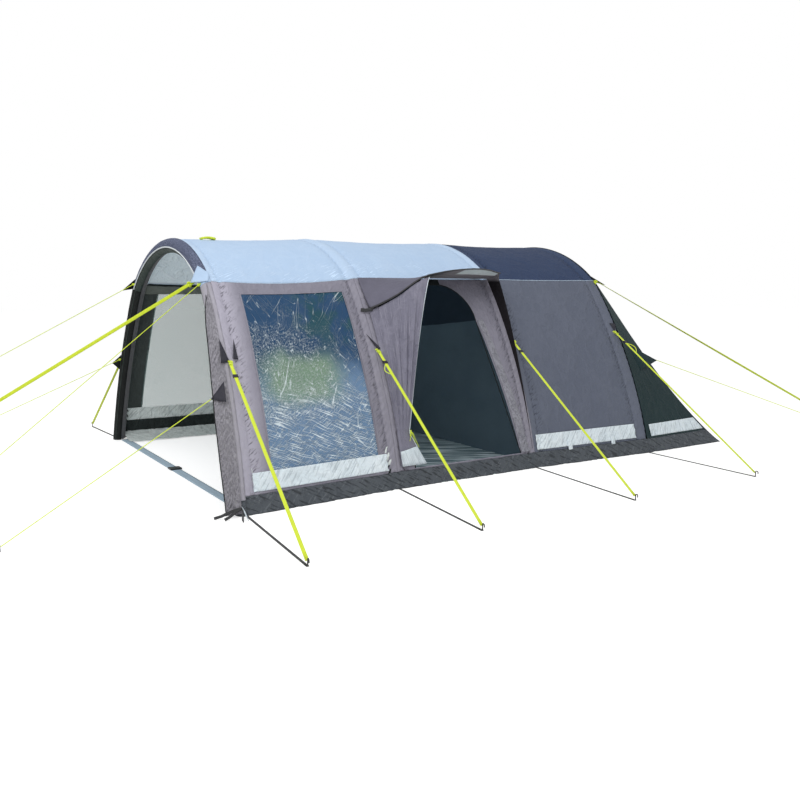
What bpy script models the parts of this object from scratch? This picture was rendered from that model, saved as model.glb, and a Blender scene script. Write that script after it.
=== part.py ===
"""Family tunnel tent held up by four inflated arches.

The tent is a tunnel of coated cloth over four air-filled arches: an open porch at the front, a
living bay with a hooded side door, and a sleeping bay that ends in a sloping rear wall. Metres,
+Z up, +X from the open front to the rear, -Y the side with the door, and the origin under the
middle of the tent.
"""

from math import asin, atan2, cos, hypot, pi, sin

import bmesh
import bpy
from mathutils import Matrix, Vector

# The tunnel's section and length.
HALF_WIDTH = 1.78
MIDDLE_TUCK = 0.08
EAVE_HALF_WIDTH = 0.99
EAVE_HEIGHT = 1.65
RIDGE_HEIGHT = 2.02
WALL_BULGE = 0.10
FRONT_DROP = 0.035
FRONT_LEAN = 0.09
PORCH_BAY = 1.308
LIVING_BAY = 1.431
SLEEPING_BAY = 1.367
REAR_RUN = 1.085
REAR_TIP_SHARE = 0.04
REAR_SAG = 0.135
REAR_SAG_SKEW_SHARE = 0.7
BAY_SAG = 0.018

# Cloth and clearances.
CLOTH = 0.003
FIT_GAP = 0.0003
TAB_GAP = 0.0006

# Inflated arches and their valves.
TUBE_RADIUS = 0.055
VALVE_HEIGHT = 0.36
VALVE_RADIUS = 0.021
VALVE_LENGTH = 0.020
CAP_RADIUS = 0.024
CAP_LENGTH = 0.012
CAP_BEVEL = 0.003

# Walls.
HEM_HEIGHT = 0.13
WINDOW_BOTTOM = 0.27
WINDOW_HEAD = 0.10
WINDOW_FRONT = 0.225
WINDOW_LENGTH = 0.92

# Side door, its hood and its wings.
DOOR_FRONT = 0.17
DOOR_REAR = 1.27
DOOR_SLANT = 0.20
DOOR_BOTTOM = 0.145
DOOR_HEAD = 0.05
DOOR_FRONT_CORNER = 0.16
DOOR_REAR_CORNER = 0.30
DOOR_CUT_DEPTH = 0.4
POLE_RADIUS = 0.006
POLE_GAP = 0.0025
POLE_FOOT_DROP = 0.25
POLE_RISE = 0.33
HOOD_REACH = 0.43
WING_HEM_HEIGHT = 0.17
WING_FOLD = 0.011
WING_DROP = 0.018
WING_CLEARANCE = 0.0075
FOLDS_FULL_SHARE = 0.83
TIE_CURVE = 0.85
TIE_HEIGHT = 0.42
TIE_ALONG = 0.15
WING_FLARE = 0.27
TOGGLE_RADIUS = 0.007
TOGGLE_LENGTH = 0.05

# Groundsheet and bedroom.
FLOOR_OVERHANG = 0.07
BEDROOM_INSET = 0.20
BEDROOM_SETBACK = 0.10
BEDROOM_REAR_CLEARANCE = 0.16
BEDROOM_SLIT = 0.03

# Strap across the open front.
STRAP_WIDTH = 0.08
BUCKLE_LENGTH = 0.09
BUCKLE_WIDTH = 0.10
BUCKLE_HEIGHT = 0.012
BUCKLE_OFFSET = 0.04

# Guylines, runners, ground straps and pegs.
WEBBING_WIDTH = 0.025
WEBBING_THICKNESS = 0.002
CORD_RADIUS = 0.003
GROUND_STRAP_WIDTH = 0.015
PEG_RADIUS = 0.004
PEG_HEIGHT = 0.045
PEG_HOOK = 0.022
LINE_HEIGHT_AT_PEG = 0.03
RUNNER_LENGTH = 0.030
RUNNER_WALL = 0.005
RUNNER_CLEARANCE = 0.0006
RUNNER_PLACE = 0.16

# Side guys, from the front to the rear and then the far one: how far along from its arch the tab
# lies, how far along from its arch the peg lies, and how far out from the foot. The tabs' heights
# are shares of the eave's.
NEAR_GUY_PLACES = (
    (0.014, -0.106, 1.16),
    (0.019, -0.151, 1.15),
    (0.010, -0.147, 1.16),
    (-0.044, -0.062, 1.17),
)
NEAR_TAB_SHARES = (0.645, 0.655, 0.673, 0.697)
FAR_GUY_PLACE = (0.014, -0.064, 0.90)
FAR_TAB_SHARE = 0.63

# End guys that are flat webbing. The others are round cord.
FLAT_END_GUYS = ("front_eave_near", "rear_eave")

# Pegs of the end guys: along the tent from its front or its rear foot line, and across it.
END_PEG_PLACES = {
    "front_eave_near": (-2.43, -0.14),
    "front_storm_near": (-1.72, -0.48),
    "front_eave_far": (-2.54, 2.27),
    "front_leg_near": (-1.48, -1.72),
    "front_leg_far": (-1.74, 1.87),
    "rear_eave": (0.97, -2.88),
    "rear_corner": (1.00, -3.03),
}
REAR_TAB_DROP = 0.01
REAR_TAB_SETBACK = 0.055
REAR_TAB_FALL = 0.0007
CORNER_TAB_SHARE = 0.536

# Tabs on the front arch, as shares of the number of stations up to the eave.
FRONT_TAB_SHARES = {
    "front_eave_near": 1.031,
    "front_storm_near": 1.0,
    "front_eave_far": 1.035,
    "front_leg_near": 0.527,
    "front_leg_far": 0.572,
}

# Counts.
WINDOW_STEPS = 4
ROOF_STEPS = 8
BAY_STEPS = 4
TUBE_SIDES_RESOLUTION = 3
BAND_STEPS = 5
ROUND_SIDES = 24
HOOD_STEPS = 16
HOOD_ROWS = 3
BEDROOM_STEPS = 3
BEDROOM_REAR_STEPS = 4
WING_STEPS = 28
WING_FOLDS = 5
CORNER_STEPS = 6

# Station numbers of the section, from the near foot over the ridge to the far foot.
HEM, SILL = 1, 2
HEAD = SILL + WINDOW_STEPS
EAVE = HEAD + 1
FAR_EAVE = EAVE + ROOF_STEPS
LAST = FAR_EAVE + EAVE

# Sizes that follow from the ones above.
WINDOW_TOP = EAVE_HEIGHT - WINDOW_HEAD
DOOR_TOP = EAVE_HEIGHT - DOOR_HEAD
POLE_FOOT_HEIGHT = EAVE_HEIGHT - POLE_FOOT_DROP
BAND_STEP = pi / BAND_STEPS
BAND_RADIUS = (TUBE_RADIUS + FIT_GAP) / cos(BAND_STEP / 2) + CLOTH
BAND_REACH = BAND_RADIUS * cos(BAND_STEP / 2)
TUBE_DEPTH = CLOTH + FIT_GAP + TUBE_RADIUS
BAYS = (PORCH_BAY, LIVING_BAY, SLEEPING_BAY, REAR_RUN)
LENGTH = BAND_REACH + sum(BAYS)
FRONT_X = -LENGTH / 2
REAR_X = LENGTH / 2
ARCH_X = [FRONT_X + BAND_REACH]
for bay_length in BAYS[:3]:
    ARCH_X.append(ARCH_X[-1] + bay_length)
ARCH_FOOT = (HALF_WIDTH, HALF_WIDTH - MIDDLE_TUCK, HALF_WIDTH - MIDDLE_TUCK, HALF_WIDTH)
ARCH_DROP = (FRONT_DROP, 0, 0, 0)
ARCH_LEAN = (FRONT_LEAN, 0, 0, 0)
FLOOR_TOP = CLOTH + FIT_GAP

for item in list(bpy.data.objects):
    bpy.data.objects.remove(item, do_unlink=True)
tent = bpy.data.collections.new("inflatable_tent")
cutters = bpy.data.collections.new("cutters")
bpy.context.scene.collection.children.link(tent)
bpy.context.scene.collection.children.link(cutters)


def finish(name, colour, roughness, metallic=0.0, alpha=1.0):
    """A plain Principled material of one colour."""
    made = bpy.data.materials.new(name)
    made.use_nodes = True
    shader = made.node_tree.nodes["Principled BSDF"]
    shader.inputs["Base Color"].default_value = (*colour, 1.0)
    shader.inputs["Roughness"].default_value = roughness
    shader.inputs["Metallic"].default_value = metallic
    shader.inputs["Alpha"].default_value = alpha
    made.diffuse_color = (*colour, alpha)
    return made


silver_cloth = finish("silver_cloth", (0.52, 0.66, 0.82), 0.55)
navy_cloth = finish("navy_cloth", (0.05, 0.07, 0.13), 0.6)
mauve_cloth = finish("mauve_cloth", (0.28, 0.25, 0.29), 0.7)
charcoal_cloth = finish("charcoal_cloth", (0.11, 0.12, 0.14), 0.7)
green_black_cloth = finish("green_black_cloth", (0.03, 0.05, 0.055), 0.65)
melange_cloth = finish("melange_cloth", (0.14, 0.14, 0.20), 0.9)
clear_film = finish("clear_film", (0.45, 0.56, 0.66), 0.12, alpha=0.5)
floor_sheet = finish("floor_sheet", (0.05, 0.07, 0.07), 0.5)
bedroom_cloth = finish("bedroom_cloth", (0.02, 0.03, 0.05), 0.8)
black_plastic = finish("black_plastic", (0.02, 0.02, 0.022), 0.45)
pale_webbing = finish("pale_webbing", (0.42, 0.55, 0.70), 0.6)
bright_webbing = finish("bright_webbing", (0.62, 0.85, 0.05), 0.6)
black_webbing = finish("black_webbing", (0.03, 0.03, 0.03), 0.7)
peg_steel = finish("peg_steel", (0.03, 0.03, 0.03), 0.4, metallic=0.6)
tube_cloth = finish("tube_cloth", (0.10, 0.10, 0.11), 0.6)


def circle_through(first, second, bulge):
    """Centre and radius of the arc that stands a bulge outside the chord of two (y, z) points."""
    chord = second - first
    outward = Vector((chord.y, -chord.x)).normalized()
    half = chord.length / 2
    radius = (half * half + bulge * bulge) / (2 * bulge)
    return (first + second) / 2 - outward * (radius - bulge), radius


def wall_half_width(height, foot=HALF_WIDTH):
    """Half the tent's width at a height on a side wall, on the smooth arc."""
    centre, radius = circle_through(
        Vector((foot, 0)), Vector((EAVE_HALF_WIDTH, EAVE_HEIGHT)), WALL_BULGE
    )
    return centre.x + radius * cos(asin((height - centre.y) / radius))


WALL_HEIGHTS = [0, HEM_HEIGHT]
for step in range(WINDOW_STEPS + 1):
    WALL_HEIGHTS.append(WINDOW_BOTTOM + (WINDOW_TOP - WINDOW_BOTTOM) * step / WINDOW_STEPS)
WALL_HEIGHTS.append(EAVE_HEIGHT)


def outline(foot):
    """The section's stations as (y, z), from the near foot over the ridge to the far foot."""
    far = [Vector((wall_half_width(height, foot), height)) for height in WALL_HEIGHTS]
    rise = RIDGE_HEIGHT - EAVE_HEIGHT
    radius = (EAVE_HALF_WIDTH**2 + rise**2) / (2 * rise)
    reach = asin(EAVE_HALF_WIDTH / radius)
    roof = []
    for step in range(1, ROOF_STEPS):
        turn = reach * (2 * step / ROOF_STEPS - 1)
        roof.append(Vector((radius * sin(turn), RIDGE_HEIGHT - radius + radius * cos(turn))))
    near = [Vector((-point.x, point.y)) for point in far]
    return near + roof + far[::-1]


OUTLINES = {foot: outline(foot) for foot in set(ARCH_FOOT)}


def station(foot, index, depth):
    """A station moved inwards by a depth, square to its facets; the feet stay on the ground."""
    points = OUTLINES[foot]
    here = points[index]
    ways = []
    for a, b in ((index - 1, index), (index, index + 1)):
        if a >= 0 and b <= LAST:
            way = (points[b] - points[a]).normalized()
            ways.append(Vector((way.y, -way.x)))
    inward = sum(ways, Vector((0, 0))).normalized()
    if len(ways) == 1:
        return here + Vector((depth / ways[0].x, 0))
    return here + inward * (depth / inward.dot(ways[0]))


def on_arch(arch, row, depth=0.0):
    """A point of an arch's section at a station number, which may lie between two stations."""
    low = min(int(row), LAST - 1)
    share = row - low
    foot = ARCH_FOOT[arch]
    y, z = station(foot, low, depth).lerp(station(foot, low + 1, depth), share)
    skin = OUTLINES[foot][low].lerp(OUTLINES[foot][low + 1], share)
    height_share = skin.y / RIDGE_HEIGHT
    return Vector((
        ARCH_X[arch] + ARCH_LEAN[arch] * height_share, y, z - ARCH_DROP[arch] * height_share
    ))


def sag(row):
    """Share of the bay's sag at a station: none at the hems and the eaves."""
    row = min(row, LAST - row)
    if row >= EAVE:
        return sin(pi * (row - EAVE) / ROOF_STEPS)
    return sin(pi * max(row - HEM, 0) / (EAVE - HEM))


def rear_slope(foot, top, share):
    """A point a share of the way up a rear slope, which the cloth's tension draws forwards."""
    point = foot.lerp(top, share)
    point.x -= REAR_SAG * sin(pi * share**REAR_SAG_SKEW_SHARE)
    return point


def rear_edge(row, depth=0.0):
    """A point of the rear wall's slanting edge, at the height of a station."""
    on_far_side = row > LAST / 2
    row = min(row, LAST - row)
    top = on_arch(3, EAVE, depth)
    corner = Vector((REAR_X - depth, depth - HALF_WIDTH, 0))
    point = rear_slope(corner, top, on_arch(3, row).z / EAVE_HEIGHT)
    if on_far_side:
        point.y = -point.y
    return point


def tunnel(column, row, depth=0.0):
    """A point of the cloth: whole columns are the arches, 3 to 4 is the side of the rear end."""
    bay = min(int(column), 3)
    along = column - bay
    if bay == 3:
        return on_arch(3, row, depth).lerp(rear_edge(row, depth), along)
    depth = depth + BAY_SAG * sag(row) * 4 * along * (1 - along)
    return on_arch(bay, row, depth).lerp(on_arch(bay + 1, row, depth), along)


def rear_wall(row, share, depth=0.0):
    """A point of the rear wall: a share of the way up from the ground to the last arch."""
    foot_share = (row - EAVE) / ROOF_STEPS
    half = HALF_WIDTH - depth
    foot = Vector((REAR_X - depth, half * (2 * foot_share - 1), 0))
    return rear_slope(foot, on_arch(3, row, depth), share)


def link(item, material):
    tent.objects.link(item)
    item.data.materials.append(material)
    return item


def cloth(name, place, columns, rows, material, hole=None):
    """A piece of cloth between two skins. place gives a point for a column, a row and a depth."""
    mesh = bpy.data.meshes.new(name)
    net = bmesh.new()
    bmesh.ops.create_grid(net, x_segments=len(columns) - 1, y_segments=len(rows) - 1, size=1)
    column_of = net.verts.layers.float.new("column")
    row_of = net.verts.layers.float.new("row")
    for point in net.verts:
        point[column_of] = columns[round((point.co.x + 1) / 2 * (len(columns) - 1))]
        point[row_of] = rows[round((point.co.y + 1) / 2 * (len(rows) - 1))]
    if hole:
        inside = []
        for face in net.faces:
            column = sum(point[column_of] for point in face.verts) / 4
            row = sum(point[row_of] for point in face.verts) / 4
            if hole[0] < column < hole[1] and hole[2] < row < hole[3]:
                inside.append(face)
        bmesh.ops.delete(net, geom=inside, context="FACES")
    made = bmesh.ops.extrude_face_region(net, geom=net.faces[:], use_keep_orig=True)
    inner = {part for part in made["geom"] if isinstance(part, bmesh.types.BMVert)}
    for point in net.verts:
        depth = CLOTH if point in inner else 0.0
        point.co = place(point[column_of], point[row_of], depth)
    bmesh.ops.recalc_face_normals(net, faces=net.faces[:])
    if net.calc_volume(signed=True) < 0:
        bmesh.ops.reverse_faces(net, faces=net.faces[:])
    net.to_mesh(mesh)
    net.free()
    return link(bpy.data.objects.new(name, mesh), material)


def between(first, last, count):
    """Evenly spaced numbers from first to last."""
    return [first + (last - first) * step / count for step in range(count + 1)]


def inside_gap(values, length_at_start, length_at_end, start=True, end=True):
    """The same values with the end ones drawn in by half a fit gap over the given lengths."""
    values = list(values)
    sign = 1 if values[-1] > values[0] else -1
    if start:
        values[0] += sign * FIT_GAP / 2 / length_at_start
    if end:
        values[-1] -= sign * FIT_GAP / 2 / length_at_end
    return values


def columns_between(first, last):
    """Columns of a piece from one arch to a later one, with a fit gap at both ends."""
    values = between(first, last, BAY_STEPS * (last - first))
    return inside_gap(values, BAYS[first], BAYS[last - 1])


def rows_between(first, last):
    """Whole rows from one station to a later one, with a fit gap at both ends."""
    points = OUTLINES[HALF_WIDTH]
    start = (points[first + 1] - points[first]).length
    end = (points[last] - points[last - 1]).length
    return inside_gap(
        range(first, last + 1), start, end, start=first > 0, end=last < LAST
    )


def mirrored(rows):
    return [LAST - row for row in rows]


# Roof cloth: silver over the porch and the living bay, navy over the sleeping bay.
cloth("roof_front", tunnel, columns_between(0, 2), rows_between(EAVE, FAR_EAVE), silver_cloth)
cloth("roof_rear", tunnel, columns_between(2, 3), rows_between(EAVE, FAR_EAVE), navy_cloth)

# Porch walls, each with a clear window sewn in.
WINDOW_FROM = WINDOW_FRONT / PORCH_BAY
WINDOW_TO = (WINDOW_FRONT + WINDOW_LENGTH) / PORCH_BAY
PORCH_COLUMNS = inside_gap([0, *between(WINDOW_FROM, WINDOW_TO, BAY_STEPS), 1], PORCH_BAY, PORCH_BAY)
window_step = (WINDOW_TOP - WINDOW_BOTTOM) / WINDOW_STEPS
WINDOW_COLUMNS = inside_gap(between(WINDOW_FROM, WINDOW_TO, BAY_STEPS), PORCH_BAY / 2, PORCH_BAY / 2)
WINDOW_ROWS = inside_gap(range(SILL, HEAD + 1), window_step / 2, window_step / 2)
WALL_ROWS = rows_between(HEM, EAVE)
for side, in_order in (("near", list), ("far", mirrored)):
    rows = in_order(WALL_ROWS)
    low, high = sorted(in_order([SILL, HEAD]))
    cloth(
        f"porch_wall_{side}", tunnel, PORCH_COLUMNS, rows, mauve_cloth,
        hole=(WINDOW_FROM, WINDOW_TO, low, high),
    )
    cloth(f"porch_window_{side}", tunnel, WINDOW_COLUMNS, in_order(WINDOW_ROWS), clear_film)

# Walls of the living and sleeping bays. The far side is one plain piece.
door_wall = cloth("door_wall", tunnel, columns_between(1, 2), WALL_ROWS, mauve_cloth)
cloth("bedroom_wall_near", tunnel, columns_between(2, 3), WALL_ROWS, charcoal_cloth)
cloth("side_wall_far", tunnel, columns_between(1, 3), mirrored(WALL_ROWS), charcoal_cloth)


def corner_arc(centre_x, centre_z, radius, first, last):
    """Points of a rounded corner, as (x, z), from one angle to another."""
    return [
        (centre_x + radius * cos(turn), centre_z + radius * sin(turn))
        for turn in between(first, last, CORNER_STEPS)
    ]


# The doorway: upright at the front, slanting at the rear, round at both top corners.
lean = atan2(DOOR_SLANT, DOOR_TOP - DOOR_BOTTOM)
door_front_x = ARCH_X[1] + DOOR_FRONT
door_rear_x = ARCH_X[1] + DOOR_REAR
rear_centre_z = DOOR_TOP - DOOR_REAR_CORNER
rear_centre_x = (
    door_rear_x
    - DOOR_SLANT * (rear_centre_z - DOOR_BOTTOM) / (DOOR_TOP - DOOR_BOTTOM)
    - DOOR_REAR_CORNER / cos(lean)
)
doorway = [(door_front_x, DOOR_BOTTOM), (door_rear_x, DOOR_BOTTOM)]
doorway += corner_arc(rear_centre_x, rear_centre_z, DOOR_REAR_CORNER, lean, pi / 2)
doorway += corner_arc(
    door_front_x + DOOR_FRONT_CORNER, DOOR_TOP - DOOR_FRONT_CORNER, DOOR_FRONT_CORNER, pi / 2, pi
)


def flat_curve(name, points, half_thickness):
    """A filled 2D curve through the points, extruded both ways."""
    data = bpy.data.curves.new(name, "CURVE")
    data.dimensions = "2D"
    data.fill_mode = "BOTH"
    data.extrude = half_thickness
    spline = data.splines.new("POLY")
    spline.points.add(len(points) - 1)
    for place, (across, up) in zip(spline.points, points):
        place.co = (across, up, 0, 1)
    spline.use_cyclic_u = True
    return bpy.data.objects.new(name, data)


def as_mesh(item):
    """The object's evaluated mesh as a new object in its place, with loose caps welded."""
    bpy.context.view_layer.update()
    evaluated = item.evaluated_get(bpy.context.evaluated_depsgraph_get())
    mesh = bpy.data.meshes.new_from_object(evaluated)
    net = bmesh.new()
    net.from_mesh(mesh)
    bmesh.ops.remove_doubles(net, verts=net.verts[:], dist=FIT_GAP / 10)
    bmesh.ops.recalc_face_normals(net, faces=net.faces[:])
    net.to_mesh(mesh)
    net.free()
    name, place, holder = item.name, item.matrix_world.copy(), item.users_collection[0]
    bpy.data.objects.remove(item, do_unlink=True)
    made = bpy.data.objects.new(name, mesh)
    made.matrix_world = place
    holder.objects.link(made)
    return made


def cutter(item):
    """Hide an object that only shapes another one."""
    item.hide_render = True
    item.display_type = "WIRE"
    return item


def combine(item, other, operation):
    change = item.modifiers.new(operation.lower(), "BOOLEAN")
    change.operation = operation
    change.solver = "EXACT"
    change.object = other
    return item


door_cut = flat_curve("door_cut", doorway, DOOR_CUT_DEPTH)
cutters.objects.link(door_cut)
door_cut.rotation_euler = (pi / 2, 0, 0)
door_cut.location = (0, -(HALF_WIDTH + EAVE_HALF_WIDTH) / 2, 0)
door_cut = cutter(as_mesh(door_cut))
combine(door_wall, door_cut, "DIFFERENCE")

# Rear end: two leaning side pieces and the sloping rear wall between them.
SIDE_ROWS = [*WALL_ROWS[:-1], EAVE - REAR_TIP_SHARE]
tip_height = EAVE_HEIGHT - REAR_TIP_SHARE * (EAVE_HEIGHT - WINDOW_TOP)
rear_heights = [*WALL_HEIGHTS[:-1], tip_height, EAVE_HEIGHT]
rear_shares = [height / EAVE_HEIGHT for height in rear_heights]
rear_shares = inside_gap(rear_shares, REAR_RUN, REAR_RUN, start=False)
end_columns = inside_gap(between(3, 4, BAY_STEPS), REAR_RUN, REAR_RUN / 2)
end_rows = inside_gap(range(EAVE, FAR_EAVE + 1), EAVE_HALF_WIDTH / ROOF_STEPS, EAVE_HALF_WIDTH / ROOF_STEPS)
cloth("rear_side_near", tunnel, end_columns, SIDE_ROWS, green_black_cloth)
cloth("rear_side_far", tunnel, end_columns, mirrored(SIDE_ROWS), green_black_cloth)
cloth("rear_wall", rear_wall, end_rows, rear_shares, green_black_cloth)

# Ground skirts: one strip along each side, from the front to the rear corner.
skirt_columns = inside_gap([0, 1, 2, 3, 4], PORCH_BAY, REAR_RUN / 2)
skirt_rows = rows_between(0, HEM)
cloth("skirt_near", tunnel, skirt_columns, skirt_rows, charcoal_cloth)
cloth("skirt_far", tunnel, skirt_columns, mirrored(skirt_rows), charcoal_cloth)


# Facing of the front arch: cloth that wraps the front half of the tube from skin to inner edge.
def front_band(turn, row, depth=0.0):
    radius = BAND_RADIUS - depth
    point = on_arch(0, row, BAND_RADIUS - radius * cos(turn))
    point.x -= radius * sin(turn)
    return point


band_turns = inside_gap(between(0, pi, BAND_STEPS), BAND_RADIUS, BAND_RADIUS, end=False)
cloth("front_arch_facing", front_band, band_turns, range(LAST + 1), melange_cloth)


def tube(name, points, radius, resolution, material):
    """A round tube along straight runs between the points, with filled ends."""
    data = bpy.data.curves.new(name, "CURVE")
    data.dimensions = "3D"
    data.bevel_depth = radius
    data.bevel_resolution = resolution
    data.use_fill_caps = True
    spline = data.splines.new("POLY")
    spline.points.add(len(points) - 1)
    for place, point in zip(spline.points, points):
        place.co = (*point, 1)
    return link(bpy.data.objects.new(name, data), material)


def tube_path(arch):
    """The middle of an inflated arch. Its ends are raised so that their slanting caps clear the
    floor, and the last arch lies just ahead of the seam from which the rear wall slopes down."""
    depth = BAND_RADIUS if arch == 0 else TUBE_DEPTH
    along = arch - (TUBE_RADIUS + FIT_GAP) / SLEEPING_BAY if arch == 3 else arch
    points = [tunnel(along, row, depth) for row in range(LAST + 1)]
    rise = FIT_GAP if arch == 0 else FLOOR_TOP
    for end, inner in ((0, 1), (-1, -2)):
        way = (points[inner] - points[end]).normalized()
        lift = rise + TUBE_RADIUS * hypot(way.x, way.y)
        points[end] += way * (lift / way.z)
    return points


def turned(name, radius, length, place, material=None, bevel=0.0):
    """A short cylinder along +X whose front face is at the place."""
    mesh = bpy.data.meshes.new(name)
    net = bmesh.new()
    bmesh.ops.create_cone(
        net, cap_ends=True, segments=ROUND_SIDES, radius1=radius, radius2=radius, depth=length
    )
    bmesh.ops.rotate(net, verts=net.verts[:], matrix=Matrix.Rotation(pi / 2, 3, "Y"))
    bmesh.ops.translate(net, verts=net.verts[:], vec=(length / 2, 0, 0))
    net.to_mesh(mesh)
    net.free()
    item = bpy.data.objects.new(name, mesh)
    item.location = place
    if bevel:
        rounding = item.modifiers.new("rounding", "BEVEL")
        rounding.width = bevel
        rounding.segments = 2
        rounding.limit_method = "ANGLE"
    if material:
        link(item, material)
    return item


# Four inflated arches. Each has a filling valve low on its near leg, closed by a turning cap.
for arch in range(4):
    path = tube_path(arch)
    beam = as_mesh(tube(f"air_arch_{arch + 1}", path, TUBE_RADIUS, TUBE_SIDES_RESOLUTION, tube_cloth))
    beam.data.materials.clear()
    beam.data.materials.append(tube_cloth)
    low = next(i for i, point in enumerate(path) if point.z > VALVE_HEIGHT) - 1
    share = (VALVE_HEIGHT - path[low].z) / (path[low + 1].z - path[low].z)
    valve = path[low].lerp(path[low + 1], share)
    way = -1 if arch == 3 else 1
    boss_length = TUBE_RADIUS + VALVE_LENGTH
    boss = turned(f"valve_boss_{arch + 1}", VALVE_RADIUS, boss_length, valve)
    boss.rotation_euler = (0, 0, 0 if way > 0 else pi)
    cutters.objects.link(boss)
    combine(beam, cutter(boss), "UNION")
    seat = valve + Vector((way * (boss_length + FIT_GAP), 0, 0))
    cap = turned(f"valve_cap_{arch + 1}", CAP_RADIUS, CAP_LENGTH, seat, black_plastic, CAP_BEVEL)
    cap.rotation_euler = (0, 0, 0 if way > 0 else pi)


# The hood's pole: share of the living bay, share of the reach from the eave, share of the rise.
POLE_SHARES = (
    (0.025, 0.47, 0.0),
    (0.15, 0.77, 0.33),
    (0.265, 0.955, 0.72),
    (0.33, 0.975, 0.83),
    (0.48, 1.0, 0.94),
    (0.70, 0.86, 1.0),
    (0.86, 0.65, 0.97),
    (0.985, 0.45, 0.91),
)


def row_at(height):
    """The station number of a height on the near wall, which may lie between two stations."""
    high = max(next(i for i, level in enumerate(WALL_HEIGHTS) if level >= height), 1)
    low = high - 1
    return low + (height - WALL_HEIGHTS[low]) / (WALL_HEIGHTS[high] - WALL_HEIGHTS[low])


def wall_facet(along, height, steps=BAY_STEPS):
    """The flat piece of near wall at a column and height: its point there, and its two edges."""
    row = min(row_at(height), EAVE)
    low_row = min(int(row), EAVE - 1)
    low_column = min(int(along * steps), 3 * steps - 1) / steps
    share = (along - low_column) * steps
    corners = [
        tunnel(column, edge)
        for edge in (low_row, low_row + 1)
        for column in (low_column, low_column + 1 / steps)
    ]
    below = corners[0].lerp(corners[1], share)
    above = corners[2].lerp(corners[3], share)
    return below.lerp(above, row - low_row), corners[1] - corners[0], above - below


def beside_wall(x, height, away=FIT_GAP):
    """A point that stands a given way outside the door wall, or outside its top edge."""
    along = 1 + (x - ARCH_X[1]) / LIVING_BAY
    skin, _, up = wall_facet(along, min(height, EAVE_HEIGHT))
    return Vector((x, skin.y - away * up.length / up.z, height))


def pole(share):
    """A point on the pole's middle line, by a smooth curve through its places."""
    low = max(i for i, place in enumerate(POLE_SHARES[:-1]) if place[0] <= share + FIT_GAP)
    places = [POLE_SHARES[min(max(low + i, 0), len(POLE_SHARES) - 1)] for i in (-1, 0, 1, 2)]
    t = (share - places[1][0]) / (places[2][0] - places[1][0])
    mixed = []
    for a, b, c, d in zip(*places):
        bend = 2 * b + (c - a) * t + (2 * a - 5 * b + 4 * c - d) * t**2
        mixed.append((bend + (3 * b - a - 3 * c + d) * t**3) / 2)
    x = ARCH_X[1] + LIVING_BAY * share
    z = POLE_FOOT_HEIGHT + POLE_RISE * mixed[2]
    nearest = beside_wall(x, min(z, EAVE_HEIGHT), POLE_RADIUS + FIT_GAP)
    return Vector((x, min(nearest.y, -EAVE_HALF_WIDTH - HOOD_REACH * mixed[1]), z))


POLE_FROM = POLE_SHARES[0][0]
POLE_TO = POLE_SHARES[-1][0]
CORNER_SHARE = POLE_SHARES[3][0]
POLE_STEP = (POLE_TO - POLE_FROM) / HOOD_STEPS
pole_line = [pole(share) for share in between(POLE_FROM, POLE_TO, HOOD_STEPS)]
tube("hood_pole", pole_line, POLE_RADIUS, 2, black_plastic)


# Hood: cloth from the eave seam out to the pole, and on past a fold at its rear end as a narrow
# gusset that runs down the third arch. Columns past the fold count how far down the gusset is.
def hood(column, out, depth=0.0):
    share = min(column, POLE_TO)
    down = max(column - POLE_TO, 0)
    edge = pole(share)
    run = pole(min(share + POLE_STEP, POLE_TO)) - pole(max(share - POLE_STEP, POLE_FROM))
    inward = beside_wall(edge.x, EAVE_HEIGHT) - edge
    inward = (inward - run * inward.dot(run) / run.length_squared).normalized()
    edge += inward * (POLE_RADIUS + POLE_GAP)
    inner = beside_wall(edge.x, EAVE_HEIGHT + (WING_HEM_HEIGHT - EAVE_HEIGHT) * down)
    outer = Vector((edge.x, edge.y, edge.z + (WING_HEM_HEIGHT - edge.z) * down))
    if down:
        reach = (beside_wall(edge.x, EAVE_HEIGHT).y - edge.y) * (1 - down) ** 2 + CLOTH
        outer.y = beside_wall(edge.x, outer.z).y - reach
    point = inner.lerp(outer, out)
    if point.z < EAVE_HEIGHT:
        point.y = min(point.y, beside_wall(edge.x, point.z).y)
    if column <= POLE_TO:
        point.z += CLOTH - depth
    if column >= POLE_TO:
        point.x -= depth
    return point


hood_columns = between(POLE_FROM, POLE_TO, HOOD_STEPS)
gusset_fall = EAVE_HEIGHT - WING_HEM_HEIGHT
for height in WALL_HEIGHTS[HEAD : HEM : -1]:
    hood_columns.append(POLE_TO + (EAVE_HEIGHT - height) / gusset_fall)
hood_columns.append(POLE_TO + 1)
cloth("door_hood", hood, hood_columns, between(0, 1, HOOD_ROWS), mauve_cloth)


# Front wing: a curtain from the pole's front run, gathered to a tie low on the second arch. Its
# rear edge runs in to the tie, and below the tie it flares out again.
def under_pole(share):
    """A point of the wing's top edge, under the pole."""
    return pole(share) - Vector((0, 0, WING_DROP))


wing_start = under_pole(POLE_FROM)
wing_corner = under_pole(CORNER_SHARE)
TIE_DOWN = (wing_corner.z - TIE_HEIGHT) / (wing_corner.z - WING_HEM_HEIGHT)


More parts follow.
